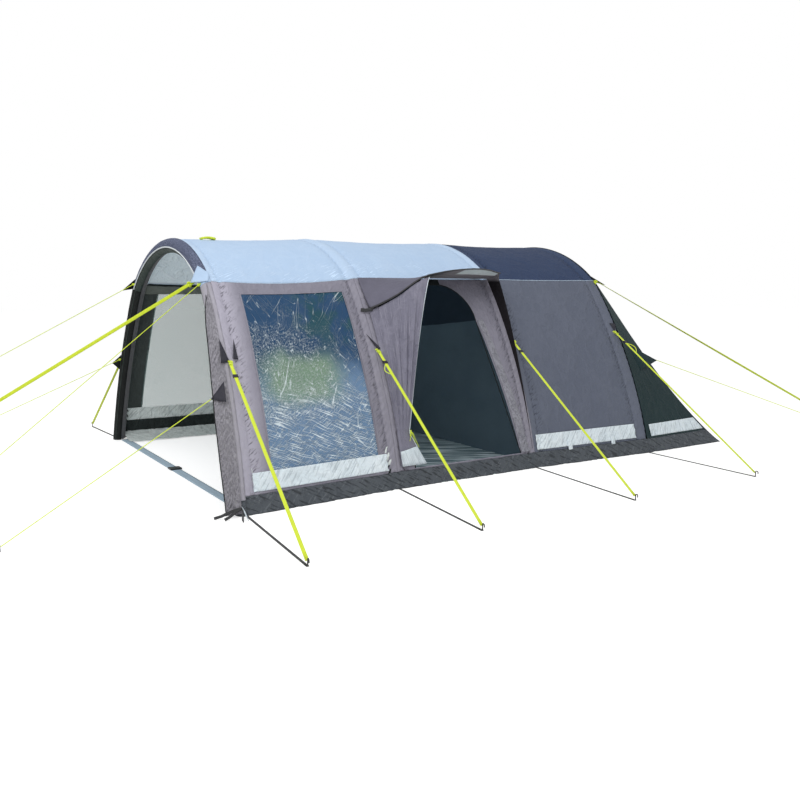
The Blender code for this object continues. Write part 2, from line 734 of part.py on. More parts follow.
def wing_free_edge(down):
    """A point of the wing's rear edge, a share of the way down from the pole to the hem."""
    height = wing_corner.z + (WING_HEM_HEIGHT - wing_corner.z) * down
    if down < TIE_DOWN:
        pull = down / TIE_DOWN
        along = wing_corner.x + (ARCH_X[1] + TIE_ALONG - wing_corner.x) * pull**TIE_CURVE
        held = beside_wall(along, TIE_HEIGHT, WING_CLEARANCE)
        return Vector((along, wing_corner.y + (held.y - wing_corner.y) * pull, height))
    flare = (down - TIE_DOWN) / (1 - TIE_DOWN)
    along = ARCH_X[1] + TIE_ALONG + (WING_FLARE - TIE_ALONG) * flare
    return beside_wall(along, height, WING_CLEARANCE)


def front_wing(across, down, depth=0.0):
    top = under_pole(POLE_FROM + (CORNER_SHARE - POLE_FROM) * across)
    height = wing_start.z + (WING_HEM_HEIGHT - wing_start.z) * down
    if across == 0:
        return beside_wall(wing_start.x, height, FIT_GAP + CLOTH - depth)
    point = beside_wall(wing_start.x, height, WING_CLEARANCE).lerp(wing_free_edge(down), across)
    point += (top - wing_start.lerp(wing_corner, across)) * (1 - down)
    ripple = sin(2 * pi * WING_FOLDS * across) * sin(pi * min(down / FOLDS_FULL_SHARE, 1))
    point.y += WING_FOLD * ripple
    point.y = min(point.y, beside_wall(point.x, point.z, WING_CLEARANCE).y)
    return point + Vector((0, depth, 0))


wing_fall = wing_start.z - WING_HEM_HEIGHT
stations_down = [(wing_start.z - height) / wing_fall for height in WALL_HEIGHTS[HEAD - 1 : HEM : -1]]
wing_rows = [0]
for down in stations_down:
    wing_rows += [(wing_rows[-1] + down) / 2, down]
wing_rows.append(1)
wing_columns = between(0, 1, WING_STEPS)
cloth("hood_wing_front", front_wing, wing_columns, wing_rows, mauve_cloth)

# Toggle of the tie that holds the front wing back: it stands upright against the gathered cloth.
tie_point = wing_free_edge(TIE_DOWN)
toggle_half = Vector((0, 0, TOGGLE_LENGTH / 2))
beside_toggle = []
for across in wing_columns:
    fold = [front_wing(across, down) for down in wing_rows]
    for upper, lower in zip(fold, fold[1:]):
        for height in (tie_point.z + toggle_half.z, tie_point.z - toggle_half.z):
            point = upper.lerp(lower, (upper.z - height) / (upper.z - lower.z))
            if lower.z <= height <= upper.z and abs(point.x - tie_point.x) < 2 * TOGGLE_RADIUS:
                beside_toggle.append(point.y)
toggle = Vector((tie_point.x, min(beside_toggle) - TOGGLE_RADIUS - FIT_GAP, tie_point.z))
tube("tie_toggle", [toggle - toggle_half, toggle + toggle_half], TOGGLE_RADIUS, 2, bright_webbing)


def box(name, low, high, material, holder=None):
    """A block between two corners."""
    mesh = bpy.data.meshes.new(name)
    net = bmesh.new()
    bmesh.ops.create_cube(net, size=1)
    bmesh.ops.scale(net, vec=Vector(high) - Vector(low), verts=net.verts[:])
    bmesh.ops.translate(net, vec=(Vector(high) + Vector(low)) / 2, verts=net.verts[:])
    net.to_mesh(mesh)
    net.free()
    item = bpy.data.objects.new(name, mesh)
    if holder:
        holder.objects.link(item)
        return item
    return link(item, material)


# Groundsheet of the living and sleeping bays.
floor_half = -on_arch(1, CLOTH / HEM_HEIGHT, CLOTH).y - TAB_GAP
floor_rear = rear_edge(0, CLOTH).lerp(rear_edge(HEM, CLOTH), CLOTH / HEM_HEIGHT).x
box(
    "groundsheet",
    (ARCH_X[1] - FLOOR_OVERHANG, -floor_half, 0),
    (floor_rear - TAB_GAP, floor_half, CLOTH),
    floor_sheet,
)


# Bedroom: an inner tent that hangs inside the sleeping bay and slopes down with the rear wall.
def bedroom(column, row, depth=0.0):
    point = tunnel(min(column, 3), row, BEDROOM_INSET + depth)
    if column > 3:
        low = Vector((REAR_X - BEDROOM_REAR_CLEARANCE, point.y, point.z * BEDROOM_SLIT / RIDGE_HEIGHT))
        point = rear_slope(low, point, 4 - column)
    point.z = FLOOR_TOP + point.z * (1 - FLOOR_TOP / RIDGE_HEIGHT)
    return point


bedroom_from = 2 + BEDROOM_SETBACK / SLEEPING_BAY
bedroom_columns = between(bedroom_from, 3, BEDROOM_STEPS) + between(3, 4, BEDROOM_REAR_STEPS)[1:]
cloth("bedroom_shell", bedroom, bedroom_columns, range(LAST + 1), bedroom_cloth)
front_outline = [bedroom(bedroom_from, row) for row in range(LAST + 1)]
bedroom_front = flat_curve("bedroom_front", [(point.y, point.z) for point in front_outline], CLOTH / 2)
bedroom_front.rotation_euler = (pi / 2, 0, pi / 2)
bedroom_front.location.x = front_outline[0].x - CLOTH / 2 - FIT_GAP
link(bedroom_front, bedroom_cloth)

# Strap across the open front, which holds the two feet apart, with the joiner of its halves.
strap_half = -on_arch(0, CLOTH / HEM_HEIGHT, 2 * BAND_RADIUS).y - 2 * FIT_GAP
strap_x = ARCH_X[0] + STRAP_WIDTH / 2
box(
    "threshold_strap",
    (strap_x - STRAP_WIDTH / 2, -strap_half, 0),
    (strap_x + STRAP_WIDTH / 2, strap_half, CLOTH),
    pale_webbing,
)
box(
    "threshold_joiner",
    (strap_x - BUCKLE_WIDTH / 2, -BUCKLE_OFFSET - BUCKLE_LENGTH / 2, FLOOR_TOP),
    (strap_x + BUCKLE_WIDTH / 2, -BUCKLE_OFFSET + BUCKLE_LENGTH / 2, FLOOR_TOP + BUCKLE_HEIGHT),
    black_plastic,
)


def run_between(tab, outward, peg, half_width, half_thickness):
    """Both ends of a straight line that stops just short of a tab's face and of a peg."""
    way = (peg - tab).normalized()
    across = Vector((-way.y, way.x, 0)).normalized()
    flat_tilt = half_width * abs(across.dot(outward))
    thick_tilt = half_thickness * abs(across.cross(way).dot(outward))
    is_round = half_width == half_thickness
    setback = FIT_GAP + hypot(flat_tilt, thick_tilt) if is_round else TAB_GAP + flat_tilt + thick_tilt
    start = tab + way * (setback / way.dot(outward))
    back = (PEG_RADIUS + FIT_GAP + half_thickness * abs(way.z)) / hypot(way.x, way.y)
    return start, peg - way * back


def strip(name, start, end, width, thickness, material, holder=None):
    """Flat webbing along a line, its width level, as an object turned to the line."""
    way = (end - start).normalized()
    across = Vector((-way.y, way.x, 0)).normalized()
    turn = Matrix((across, way, across.cross(way))).transposed()
    item = box(
        name,
        (-width / 2, 0, -thickness / 2),
        (width / 2, (end - start).length, thickness / 2),
        material,
        holder,
    )
    item.matrix_world = Matrix.Translation(start) @ turn.to_4x4()
    return item


def hook_points(peg, way):
    """The part of a bent wire peg that stands above the ground, its hook turned along a way."""
    top = Vector((peg.x, peg.y, PEG_HEIGHT))
    return [
        Vector((peg.x, peg.y, 0)),
        top,
        top + way * PEG_HOOK / 2 + Vector((0, 0, PEG_HOOK / 3)),
        top + way * PEG_HOOK,
    ]


def away_from(peg, tab):
    """The level direction in which a peg's hook points: away from its line."""
    return Vector((peg.x - tab.x, peg.y - tab.y, 0)).normalized()


def strap_and_peg(name, foot, slant, peg, tab):
    """A ground strap from an arch's foot, where the hem runs at a slant, sewn round its peg."""
    foot = Vector((foot.x, foot.y, WEBBING_THICKNESS / 2))
    peg_foot = Vector((peg.x, peg.y, WEBBING_THICKNESS / 2))
    way = (peg_foot - foot).normalized()
    start = foot + way * (FIT_GAP + GROUND_STRAP_WIDTH / 2 * (abs(way.x) + slant))
    strap = strip(name, start, peg_foot, GROUND_STRAP_WIDTH, WEBBING_THICKNESS, black_webbing)
    hook = as_mesh(tube(f"{name}_hook", hook_points(peg, away_from(peg, tab)), PEG_RADIUS, 2, black_webbing))
    tent.objects.unlink(hook)
    cutters.objects.link(hook)
    combine(strap, cutter(hook), "UNION")


def wall_tab(height, along):
    """A tab's place on the near wall, and the way that the wall faces there."""
    place, rearward, up = wall_facet(along, height)
    return place, rearward.cross(up).normalized()


def side_guy(name, arch, place, tab_share, side):
    """A flat guy from a tab on an arch, with the ground strap and peg that belong to it."""
    tab_along, peg_along, peg_out = place
    bay_length = BAYS[arch if tab_along > 0 else arch - 1]
    tab, outward = wall_tab(EAVE_HEIGHT * tab_share, arch + tab_along / bay_length)
    peg = Vector((ARCH_X[arch] + peg_along, -side * (HALF_WIDTH + peg_out), LINE_HEIGHT_AT_PEG))
    foot = on_arch(arch, 0)
    for point in (tab, outward, foot):
        point.y *= side
    start, end = run_between(tab, outward, peg, WEBBING_WIDTH / 2, WEBBING_THICKNESS / 2)
    strip(f"guy_{name}", start, end, WEBBING_WIDTH, WEBBING_THICKNESS, bright_webbing)
    slant = 0 if ARCH_FOOT[arch] == HALF_WIDTH else MIDDLE_TUCK / PORCH_BAY
    strap_and_peg(f"ground_strap_{name}", foot, slant, peg, tab)
    return start, end


# Side guys: flat webbing from a tab on each near arch, with a runner that slides on it, and one
# from the far leg of the front arch.
for arch, place in enumerate(NEAR_GUY_PLACES):
    start, end = side_guy(f"near_{arch + 1}", arch, place, NEAR_TAB_SHARES[arch], 1)
    way = (end - start).normalized()
    runner_start = start + way * RUNNER_PLACE
    runner = strip(
        f"runner_near_{arch + 1}",
        runner_start,
        runner_start + way * RUNNER_LENGTH,
        WEBBING_WIDTH + 2 * RUNNER_WALL,
        WEBBING_THICKNESS + 2 * RUNNER_WALL,
        black_plastic,
    )
    slot = strip(
        f"runner_slot_{arch + 1}",
        start,
        end,
        WEBBING_WIDTH + 2 * RUNNER_CLEARANCE,
        WEBBING_THICKNESS + 2 * RUNNER_CLEARANCE,
        black_plastic,
        cutters,
    )
    combine(runner, cutter(slot), "DIFFERENCE")
side_guy("far_1", 0, FAR_GUY_PLACE, FAR_TAB_SHARE, -1)


def front_tab(name):
    """A tab's place on the flat front of the first arch, and the way that it faces."""
    point = on_arch(0, EAVE * FRONT_TAB_SHARES[name], BAND_RADIUS)
    if name.endswith("far"):
        point.y = -point.y
    return point - Vector((BAND_REACH, 0, 0)), Vector((-1, 0, 0))


def corner_tab(height):
    """A tab's place just clear of the near rear corner, and the way that it faces."""
    outward = Vector((1, -1, 0)).normalized()
    return tunnel(4, row_at(height)) + outward * CORD_RADIUS, outward


# End guys. The two wide ones, from the near eave, are flat webbing.
end_guys = {name: front_tab(name) for name in FRONT_TAB_SHARES}
rear_tab_column = 3 - REAR_TAB_SETBACK / SLEEPING_BAY
tab, outward = wall_tab(EAVE_HEIGHT - REAR_TAB_DROP, rear_tab_column)
end_guys["rear_eave"] = (tab - outward * REAR_TAB_FALL, outward)
end_guys["rear_corner"] = corner_tab(EAVE_HEIGHT * CORNER_TAB_SHARE)
for name, (tab, outward) in end_guys.items():
    along, across = END_PEG_PLACES[name]
    from_x = REAR_X if name.startswith("rear") else FRONT_X
    peg = Vector((from_x + along, across, LINE_HEIGHT_AT_PEG))
    if name in FLAT_END_GUYS:
        start, end = run_between(tab, outward, peg, WEBBING_WIDTH / 2, WEBBING_THICKNESS / 2)
        strip(f"guy_{name}", start, end, WEBBING_WIDTH, WEBBING_THICKNESS, bright_webbing)
    else:
        start, end = run_between(tab, outward, peg, CORD_RADIUS, CORD_RADIUS)
        tube(f"guy_{name}", [start, end], CORD_RADIUS, 2, bright_webbing)
    tube(f"peg_{name}", hook_points(peg, away_from(peg, tab)), PEG_RADIUS, 2, peg_steel)
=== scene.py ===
"""Dressed model of a family tunnel tent that stands on four inflated arches.

The lines and their pegs come first, then the inflated arches, the cloth tunnel over them with its
facing and stays, the hood of the door, the floor and bedroom, and last the small fittings.
"""

from math import asin, cos, exp, hypot, pi, sin

import bmesh
import bpy
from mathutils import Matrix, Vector, noise


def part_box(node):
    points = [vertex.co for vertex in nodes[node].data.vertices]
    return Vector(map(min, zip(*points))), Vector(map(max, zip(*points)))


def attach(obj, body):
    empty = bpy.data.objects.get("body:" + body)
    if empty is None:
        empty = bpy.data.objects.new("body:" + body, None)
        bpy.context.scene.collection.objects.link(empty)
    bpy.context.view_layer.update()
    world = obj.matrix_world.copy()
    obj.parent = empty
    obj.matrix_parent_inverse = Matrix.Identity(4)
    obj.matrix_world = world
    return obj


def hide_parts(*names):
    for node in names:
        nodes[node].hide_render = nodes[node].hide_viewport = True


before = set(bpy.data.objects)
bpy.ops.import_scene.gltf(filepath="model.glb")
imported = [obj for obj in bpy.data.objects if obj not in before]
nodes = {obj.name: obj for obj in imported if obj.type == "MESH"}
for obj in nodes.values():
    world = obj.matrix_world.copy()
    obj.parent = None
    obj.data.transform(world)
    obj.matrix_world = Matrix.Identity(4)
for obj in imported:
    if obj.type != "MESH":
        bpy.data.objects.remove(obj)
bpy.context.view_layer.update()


# Camera
# It stands where the photographer stood, at standing height ahead of the porch's near corner. Its
# place and lens come from a perspective fit to the photo.
camera_data = bpy.data.cameras.new("camera")
camera_data.lens = 36.576
camera_data.sensor_width = 36
camera_data.clip_end = 200
camera = bpy.data.objects.new("camera", camera_data)
camera.location = (-4.624, -6.950, 1.55)
camera.rotation_euler = (1.4363, 0, -0.5702)
bpy.context.scene.collection.objects.link(camera)
bpy.context.scene.camera = camera


# Guylines
# Five side guys and the two long eave guys are flat woven webbing, and the other five round cord.
# Each is sewn or knotted to a tab on the tent and hooked over a peg, and is pulled taut.
class Wire:
    """A socket that sums can be written on: each operation adds its node."""

    def __init__(self, finish, socket):
        self.finish = finish
        self.socket = socket

    def math(self, operation, *others):
        return self.finish.add("Math", {"operation": operation}, dict(enumerate((self, *others))))

    def __add__(self, other):
        return self.math("ADD", other)

    def __sub__(self, other):
        return self.math("SUBTRACT", other)

    def __rsub__(self, other):
        return self.finish.add("Math", {"operation": "SUBTRACT"}, {0: other, 1: self})

    def __mul__(self, other):
        return self.math("MULTIPLY", other)

    def rising(self, low, high):
        """0 below the low value and 1 above the high one."""
        limits = {"Value": self, "From Min": low, "From Max": high}
        return self.finish.add("MapRange", {"interpolation_type": "SMOOTHSTEP"}, limits)

    def off(self, middle=0.0):
        """How far from a middle value, to either side."""
        return (self - middle if middle else self).math("ABSOLUTE")

    __radd__ = __add__
    __rmul__ = __mul__


class Finish:
    """A material in the making: plain values on its shader, and whatever is wired to them."""

    def __init__(self, name, plain):
        self.material = bpy.data.materials.new(name)
        self.material.use_nodes = True
        self.tree = self.material.node_tree
        self.shader = self.tree.nodes["Principled BSDF"]
        for socket, value in plain.items():
            self.shader.inputs[socket].default_value = value

    def add(self, kind, settings=None, sockets=None, output=0):
        """A node of a type, with its settings and then its sockets, as the wire from its output."""
        node = self.tree.nodes.new("ShaderNode" + kind)
        for field, value in (settings or {}).items():
            setattr(node, field, value)
        for socket, value in (sockets or {}).items():
            self.join(node.inputs[socket], value)
        if isinstance(output, tuple):
            return [Wire(self, node.outputs[one]) for one in output]
        return Wire(self, node.outputs[output])

    def join(self, socket, value):
        if isinstance(value, Wire):
            self.tree.links.new(value.socket, socket)
        elif socket.type == "RGBA":
            socket.default_value = (*value, 1)
        else:
            socket.default_value = value

    def here(self):
        """A point's place on the piece, in metres."""
        return self.add("TexCoord", output=3)

    def flat(self):
        """A point's place on the flat pattern that the piece was cut to."""
        return self.add("UVMap", {"uv_map": "pattern"})

    def parts(self, where, *axes):
        return self.add("SeparateXYZ", sockets={0: where}, output=axes)

    def mix(self, share, first, second):
        """One colour into another."""
        return self.add("Mix", {"data_type": "RGBA"}, {0: share, 6: first, 7: second}, 2)

    def mottle(self, where, scale, detail=3, stretch=None):
        """Soft irregular variation from 0 to 1."""
        if stretch:
            where = self.add("Mapping", sockets={"Vector": where, "Scale": stretch})
        return self.add("TexNoise", sockets={"Vector": where, "Scale": scale, "Detail": detail})

    def streaks(self, where, turn, across, along, low, high):
        """Thin marks that run one way over a surface, so many to a metre across and along."""
        sockets = {"Vector": where, "Rotation": (0, 0, turn), "Scale": (1 / along, 1 / across, 1)}
        turned = self.add("Mapping", {"vector_type": "TEXTURE"}, sockets)
        marks = self.add("TexNoise", sockets={"Vector": turned, "Scale": 1, "Detail": 2})
        return marks.rising(low, high)

    def show(self, colour, roughness=None, height=None, depth=0.001):
        """Wire the shader, with a height times a depth in metres as bumps: the material."""
        self.join(self.shader.inputs["Base Color"], colour)
        if roughness is not None:
            self.join(self.shader.inputs["Roughness"], roughness)
        if height is not None:
            sockets = {"Height": height, "Distance": depth, "Strength": 1.0}
            self.join(self.shader.inputs["Normal"], self.add("Bump", sockets=sockets))
        return self.material


def woven_strap(name, colour, dark):
    """Flat webbing: ribs across it, two woven lines along it, and dust in the weave."""
    made = Finish(name, {"Sheen Weight": 0.15, "Specular IOR Level": 0.3})
    across, along = made.parts(made.flat(), 0, 1)
    waver = (across * (2 * pi / 0.006)).math("SINE")
    ribs = (along * (2 * pi / 0.0024) + waver).math("SINE")
    edge = (across * (2 * pi / 0.0125)).math("COSINE")
    dust = made.mottle(made.here(), 35)
    shade = ribs * 0.10 + edge * 0.06 + dust * 0.35 + 0.02
    return made.show(made.mix(shade, colour, dark), 0.55 + dust * 0.2, ribs + edge * 0.6, 0.0003)


def braided_line(name, colour, dark):
    """Round braided cord: slanting strands seen as light and dark flecks."""
    made = Finish(name, {"Sheen Weight": 0.15})
    here = made.here()
    strands = made.add("TexVoronoi", sockets={"Vector": here, "Scale": 420})
    dust = made.mottle(here, 30)
    shade = strands * 0.45 + dust * 0.2
    return made.show(made.mix(shade, colour, dark), 0.6 + dust * 0.2, strands, 0.0004)


def ripple(*place):
    """Smooth irregular variation over a place, from -1 to 1."""
    return noise.noise(Vector(place))


def put(name, net_or_data, *finishes):
    """A new piece of the scene from a bmesh or curve data, with its finishes."""
    data = net_or_data
    if isinstance(data, bmesh.types.BMesh):
        data = bpy.data.meshes.new(name)
        net_or_data.to_mesh(data)
        net_or_data.free()
        data.shade_smooth()
    piece = bpy.data.objects.new(name, data)
    bpy.context.scene.collection.objects.link(piece)
    for finish in finishes:
        data.materials.append(finish)
    return piece


def worn_by(piece, body, slot, *replaced):
    """The piece moves with a body and stands for the nodes named. The slot is not used."""
    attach(piece, body)
    if replaced:
        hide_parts(*replaced)
    return piece


def thicken(piece, thickness, offset=-1, lining=0):
    """Give a flat piece its thickness. The lining is the number of its inner finish."""
    wall = piece.modifiers.new("thickness", "SOLIDIFY")
    wall.thickness = thickness
    wall.offset = offset
    wall.material_offset = lining
    return piece


def shares(count):
    """From 0 to 1 in so many even steps."""
    return [step / count for step in range(count + 1)]


def run(start, end, count=24):
    """Evenly spaced points from one to another."""
    return [Vector(start).lerp(Vector(end), share) for share in shares(count)]


def measure(path):
    """The length of a path."""
    return sum((there - here).length for here, there in zip(path, path[1:]))


def strap(name, path, width, thickness, finish, lean=(0, 0)):
    """Webbing along a path, level across or leaning: 90 degrees is upright, and it may twist."""
    net = bmesh.new()
    last = len(path) - 1
    bmesh.ops.create_grid(net, x_segments=4, y_segments=last, size=1)
    pattern = net.loops.layers.uv.new("pattern")
    for face in net.faces:
        for corner in face.loops:
            step = round((corner.vert.co.y + 1) / 2 * last)
            corner[pattern].uv = (corner.vert.co.x * width / 2, measure(path[:step + 1]))
    for point in net.verts:
        step = round((point.co.y + 1) / 2 * last)
        way = (path[min(step + 1, last)] - path[max(step - 1, 0)]).normalized()
        level = Vector((-way.y, way.x, 0)).normalized()
        turn = (lean[0] + (lean[1] - lean[0]) * min(step / last * 2, 1)) * pi / 180
        across = level * cos(turn) + level.cross(way).normalized() * sin(turn)
        point.co = path[step] + across * (width / 2 * point.co.x)
    return thicken(put(name, net, finish), thickness, offset=0)


def line(name, path, radius, finish, smooth=False, sides=3):
    """Round cord, wire or piping along a path."""
    data = bpy.data.curves.new(name, "CURVE")
    data.dimensions = "3D"
    data.bevel_depth = radius
    data.bevel_resolution = sides
    data.use_fill_caps = True
    spline = data.splines.new("NURBS" if smooth else "POLY")
    spline.points.add(len(path) - 1)
    for place, point in zip(spline.points, path):
        place.co = (*point, 1)
    if smooth:
        spline.order_u = 3
        spline.use_endpoint_u = True
    return put(name, data, finish)


BRIGHT = (0.80, 0.94, 0.05)
bright_webbing = woven_strap("bright_webbing", BRIGHT, (0.52, 0.66, 0.03))
bright_cord = braided_line("bright_cord", BRIGHT, (0.48, 0.62, 0.03))
WEBBING_WIDTH = 0.025
WEBBING_THICKNESS = 0.002
CORD_RADIUS = 0.003

# Each guy from its tab to its peg. The two long flat ones lean, in degrees at the tab and from half
# way on.
FLAT_GUYS = {
    "near_1": ((-2.5062, -1.3758, 1.0418), (-2.6719, -2.9352, 0.0331)),
    "near_2": ((-1.2400, -1.3365, 1.0770), (-1.4089, -2.9252, 0.0332)),
    "near_3": ((0.1821, -1.3215, 1.1072), (0.0260, -2.9352, 0.0332)),
    "near_4": ((1.4955, -1.3253, 1.1466), (1.4776, -2.9451, 0.0333)),
    "far_1": ((-2.5072, 1.3899, 1.0163), (-2.6300, 2.6751, 0.0337)),
    "front_eave_near": ((-2.5543, -0.9005, 1.6340), (-5.0500, -0.1414, 0.0329)),
    "rear_eave": ((1.5286, -1.0189, 1.6420), (3.5910, -2.8768, 0.0327)),
}
GUY_LEANS = {"front_eave_near": (90, 90), "rear_eave": (4, 40)}
CORD_GUYS = {
    "front_storm_near": ((-2.5534, -0.9462, 1.6020), (-4.3386, -0.4816, 0.0352)),
    "front_eave_far": ((-2.5515, 0.8973, 1.6118), (-5.1595, 2.2673, 0.0331)),
    "front_leg_near": ((-2.6002, -1.4457, 0.8320), (-4.0991, -1.7190, 0.0327)),
    "front_leg_far": ((-2.5857, 1.3998, 0.8676), (-4.3592, 1.8686, 0.0325)),
    "rear_corner": ((1.9251, -1.3596, 0.8839), (3.6208, -3.0263, 0.0319)),
}

# Pegs
# Bent steel wire, painted dark. A peg's shank goes slanting into the ground, and its hook holds the
# loop of its line. The side pegs hold the end of a ground strap as well.
made = Finish("peg_steel", {"Metallic": 0.7})
here = made.here()
chips = made.mottle(here, 160, 5).rising(0.58, 0.66)
paint = made.mix(chips, (0.03, 0.03, 0.032), (0.22, 0.20, 0.18))
peg_steel = made.show(paint, 0.35 + chips * 0.3, made.mottle(here, 500), 0.0002)
PEG_RADIUS = 0.004
PEG_HEIGHT = 0.040
PEG_PAST_LINE = 0.005
HOOK_REACH, HOOK_RISE, HOOK_DROP = 0.011, 0.010, 0.012


def up_by(height):
    return Vector((0, 0, height))


def refinish(finish, *names):
    """CAD nodes that keep their shape take a finish."""
    for name in names:
        nodes[name].data.materials.clear()
        nodes[name].data.materials.append(finish)


pegs = {}
for name, (start, end) in {**FLAT_GUYS, **CORD_GUYS}.items():
    if name.startswith(("near", "far")):
        away = Vector((end[0] - start[0], end[1] - start[1], 0)).normalized()
        foot = Vector((end[0], end[1], 0)) + away * PEG_PAST_LINE
        shape = [foot]
        for turn in (pi * share for share in shares(8)):
            reach = away * (HOOK_REACH - HOOK_REACH * cos(turn))
            shape.append(foot + reach + up_by(PEG_HEIGHT + HOOK_RISE * sin(turn)))
        shape.append(shape[-1] - up_by(HOOK_DROP))
        peg = line(f"side_peg_{name}", shape, PEG_RADIUS, peg_steel)
        pegs[name] = worn_by(peg, "tent", "black_webbing")
    else:
        refinish(peg_steel, f"peg_{name}")
        pegs[name] = nodes[f"peg_{name}"]

# Knots and the guys themselves
# The line is tied to its tab with a pulled-up knot, lumpy and a little flattened. A side guy has a
# smaller one below it, where the webbing's end is caught.
KNOT, SECOND_KNOT, CORD_KNOT = 0.040, 0.026, 0.022
SECOND_KNOT_DOWN, CORD_KNOT_DOWN = 0.045, 0.02
KNOT_DOWN = {"front_eave_near": 0.075, "near_3": 0.040}


def knot(name, place, size):
    loops = []
    for turn in (2 * pi * share for share in shares(40)):
        x, y, z = sin(turn) + 2 * sin(2 * turn), -0.7 * sin(3 * turn), cos(turn) - 2 * cos(2 * turn)
        loops.append(Vector(place) + Vector((x, y, z)) * (size / 6))
    tied_up = line(name, loops, size * 0.13, bright_cord, smooth=True)
    return worn_by(tied_up, "tent", "bright_webbing")


for name, (start, end) in FLAT_GUYS.items():
    path = run(start, end)
    lean = GUY_LEANS.get(name, (0, 0))
    guy = strap(f"guy_{name}_webbing", path, WEBBING_WIDTH, WEBBING_THICKNESS, bright_webbing, lean)
    worn_by(guy, "tent", "bright_webbing", f"guy_{name}")
    way = (path[-1] - path[0]).normalized()
    above = way.cross(Vector((-way.y, way.x, 0))).normalized()
    place = path[0] + (way * KNOT_DOWN[name] if name in KNOT_DOWN else way * 0.008 - above * 0.010)
    tied = [pegs[name], knot(f"guy_{name}_knot", place, KNOT)]
    if name.startswith("near"):
        place = path[0] + way * SECOND_KNOT_DOWN
        tied.append(knot(f"guy_{name}_second_knot", place, SECOND_KNOT))
    length = (path[-1] - path[0]).length
for name, (start, end) in CORD_GUYS.items():
    path = run(start, end)
    guy = line(f"guy_{name}_cord", path, CORD_RADIUS, bright_cord)
    worn_by(guy, "tent", "bright_webbing", f"guy_{name}")
    length = (path[-1] - path[0]).length
    place = path[0] + (path[-1] - path[0]) * (CORD_KNOT_DOWN / length)
    tied = [pegs[name], knot(f"guy_{name}_knot", place, CORD_KNOT)]

# Ground straps
# Narrow black webbing sewn to the hem at each arch's foot and looped round the same peg as the guy,
# so that the foot can't creep inwards when the guy pulls.
black_webbing = woven_strap("black_webbing", (0.035, 0.036, 0.04), (0.10, 0.10, 0.10))
GROUND_STRAP_WIDTH, GROUND_STRAP_THICKNESS = 0.018, 0.005
GROUND_STRAPS = {
    "near_1": ((-2.5665, -1.7810, 0.001), (-2.6724, -2.9400, 0.001)),
    "near_2": ((-1.2586, -1.7017, 0.001), (-1.4094, -2.9300, 0.001)),
    "near_3": ((0.1724, -1.7016, 0.001), (0.0256, -2.9400, 0.001)),
    "near_4": ((1.5395, -1.7807, 0.001), (1.4776, -2.9500, 0.001)),
    "far_1": ((-2.5665, 1.7808, 0.001), (-2.6304, 2.6800, 0.001)),
}
for name, (start, end) in GROUND_STRAPS.items():
    path = run(start, end)
    ground_strap = strap(f"ground_strap_{name}_webbing", path, GROUND_STRAP_WIDTH,
                         GROUND_STRAP_THICKNESS, black_webbing)
    worn_by(ground_strap, "tent", "black_webbing", f"ground_strap_{name}")
    (path[-1] - path[0]).length

# Runners, caps and pole
# Moulded black plastic. The runners are tension locks on the near guys, each a frame round the
# webbing with a bar across it. The caps close the arches' valves, and the pole bends in the hood.
made = Finish("black_plastic", {"Specular IOR Level": 0.45})
here = made.here()
scuffs = made.mottle(here, 60, 6).rising(0.55, 0.7)
plastic = made.mix(scuffs * 0.4, (0.018, 0.018, 0.020), (0.07, 0.07, 0.075))
black_plastic = made.show(plastic, 0.38 + scuffs * 0.25, made.mottle(here, 900, 2), 0.0002)
for i in (1, 2, 3, 4):
    refinish(black_plastic, f"runner_near_{i}", f"valve_cap_{i}")
refinish(black_plastic, "hood_pole")

# Spare webbing
# What is left over after a guy is pulled tight hangs in a loop from its runner. It shows on the
# second and the fourth of the near guys, and goes with the runner when that slides.
SPARE_RADIUS = 0.0035
for number, reach, aside, forwards in ((2, 0.125, 0.040, 1), (4, 0.150, 0.050, -1)):
    start, end = (Vector(point) for point in FLAT_GUYS[f"near_{number}"])
    way = (end - start).normalized()
    low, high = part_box(f"runner_near_{number}")
    top = (low + high) / 2 + way * 0.012 + Vector((0, -0.006, -0.006))
    beside_guy = Vector((-1, 0, -0.25)).normalized() * forwards
    loop = [top + way * (reach * share) + beside_guy * (aside * sin(pi * share) ** 0.8)
            for share in shares(24)]
    spare = line(f"spare_webbing_{number}", loop, SPARE_RADIUS, bright_cord)
    worn_by(spare, f"slider_{number}", "bright_webbing")
    measure(loop)


# Inflated arches
# Each is an air bladder in a stout black sleeve, four in all from the porch to the bedroom. The
# shape of the whole tunnel follows from them, so the places on its skin are worked out here.
ARCHES = (-2.5664, -1.2584, 0.1726, 1.5396)
FEET = (1.78, 1.70, 1.70, 1.78)
REAR = 2.6246
HALF_WIDTH = 1.78
EAVE_HALF, EAVE, RIDGE = 0.99, 1.65, 2.02
BULGE = 0.10
SAG = 0.018
PORCH_EAVE_DIP, OTHER_EAVE_DIP = 0.032, 0.0064
FRONT_LEAN, FRONT_DROP = 0.09, 0.035
TUBE_RADIUS = 0.055
TUBE_DEPTH, FRONT_TUBE_DEPTH = 0.066, 0.061
TUBES = (*ARCHES[:3], ARCHES[3] - 0.0555)
ROOF_RADIUS = (EAVE_HALF**2 + (RIDGE - EAVE) ** 2) / (2 * (RIDGE - EAVE))
ROOF_TURN = asin(EAVE_HALF / ROOF_RADIUS)
WALL_AROUND, ROOF_AROUND = 1.84, 2 * ROOF_RADIUS * ROOF_TURN
ALL_AROUND = 2 * WALL_AROUND + ROOF_AROUND
ROOF_END = WALL_AROUND + ROOF_AROUND


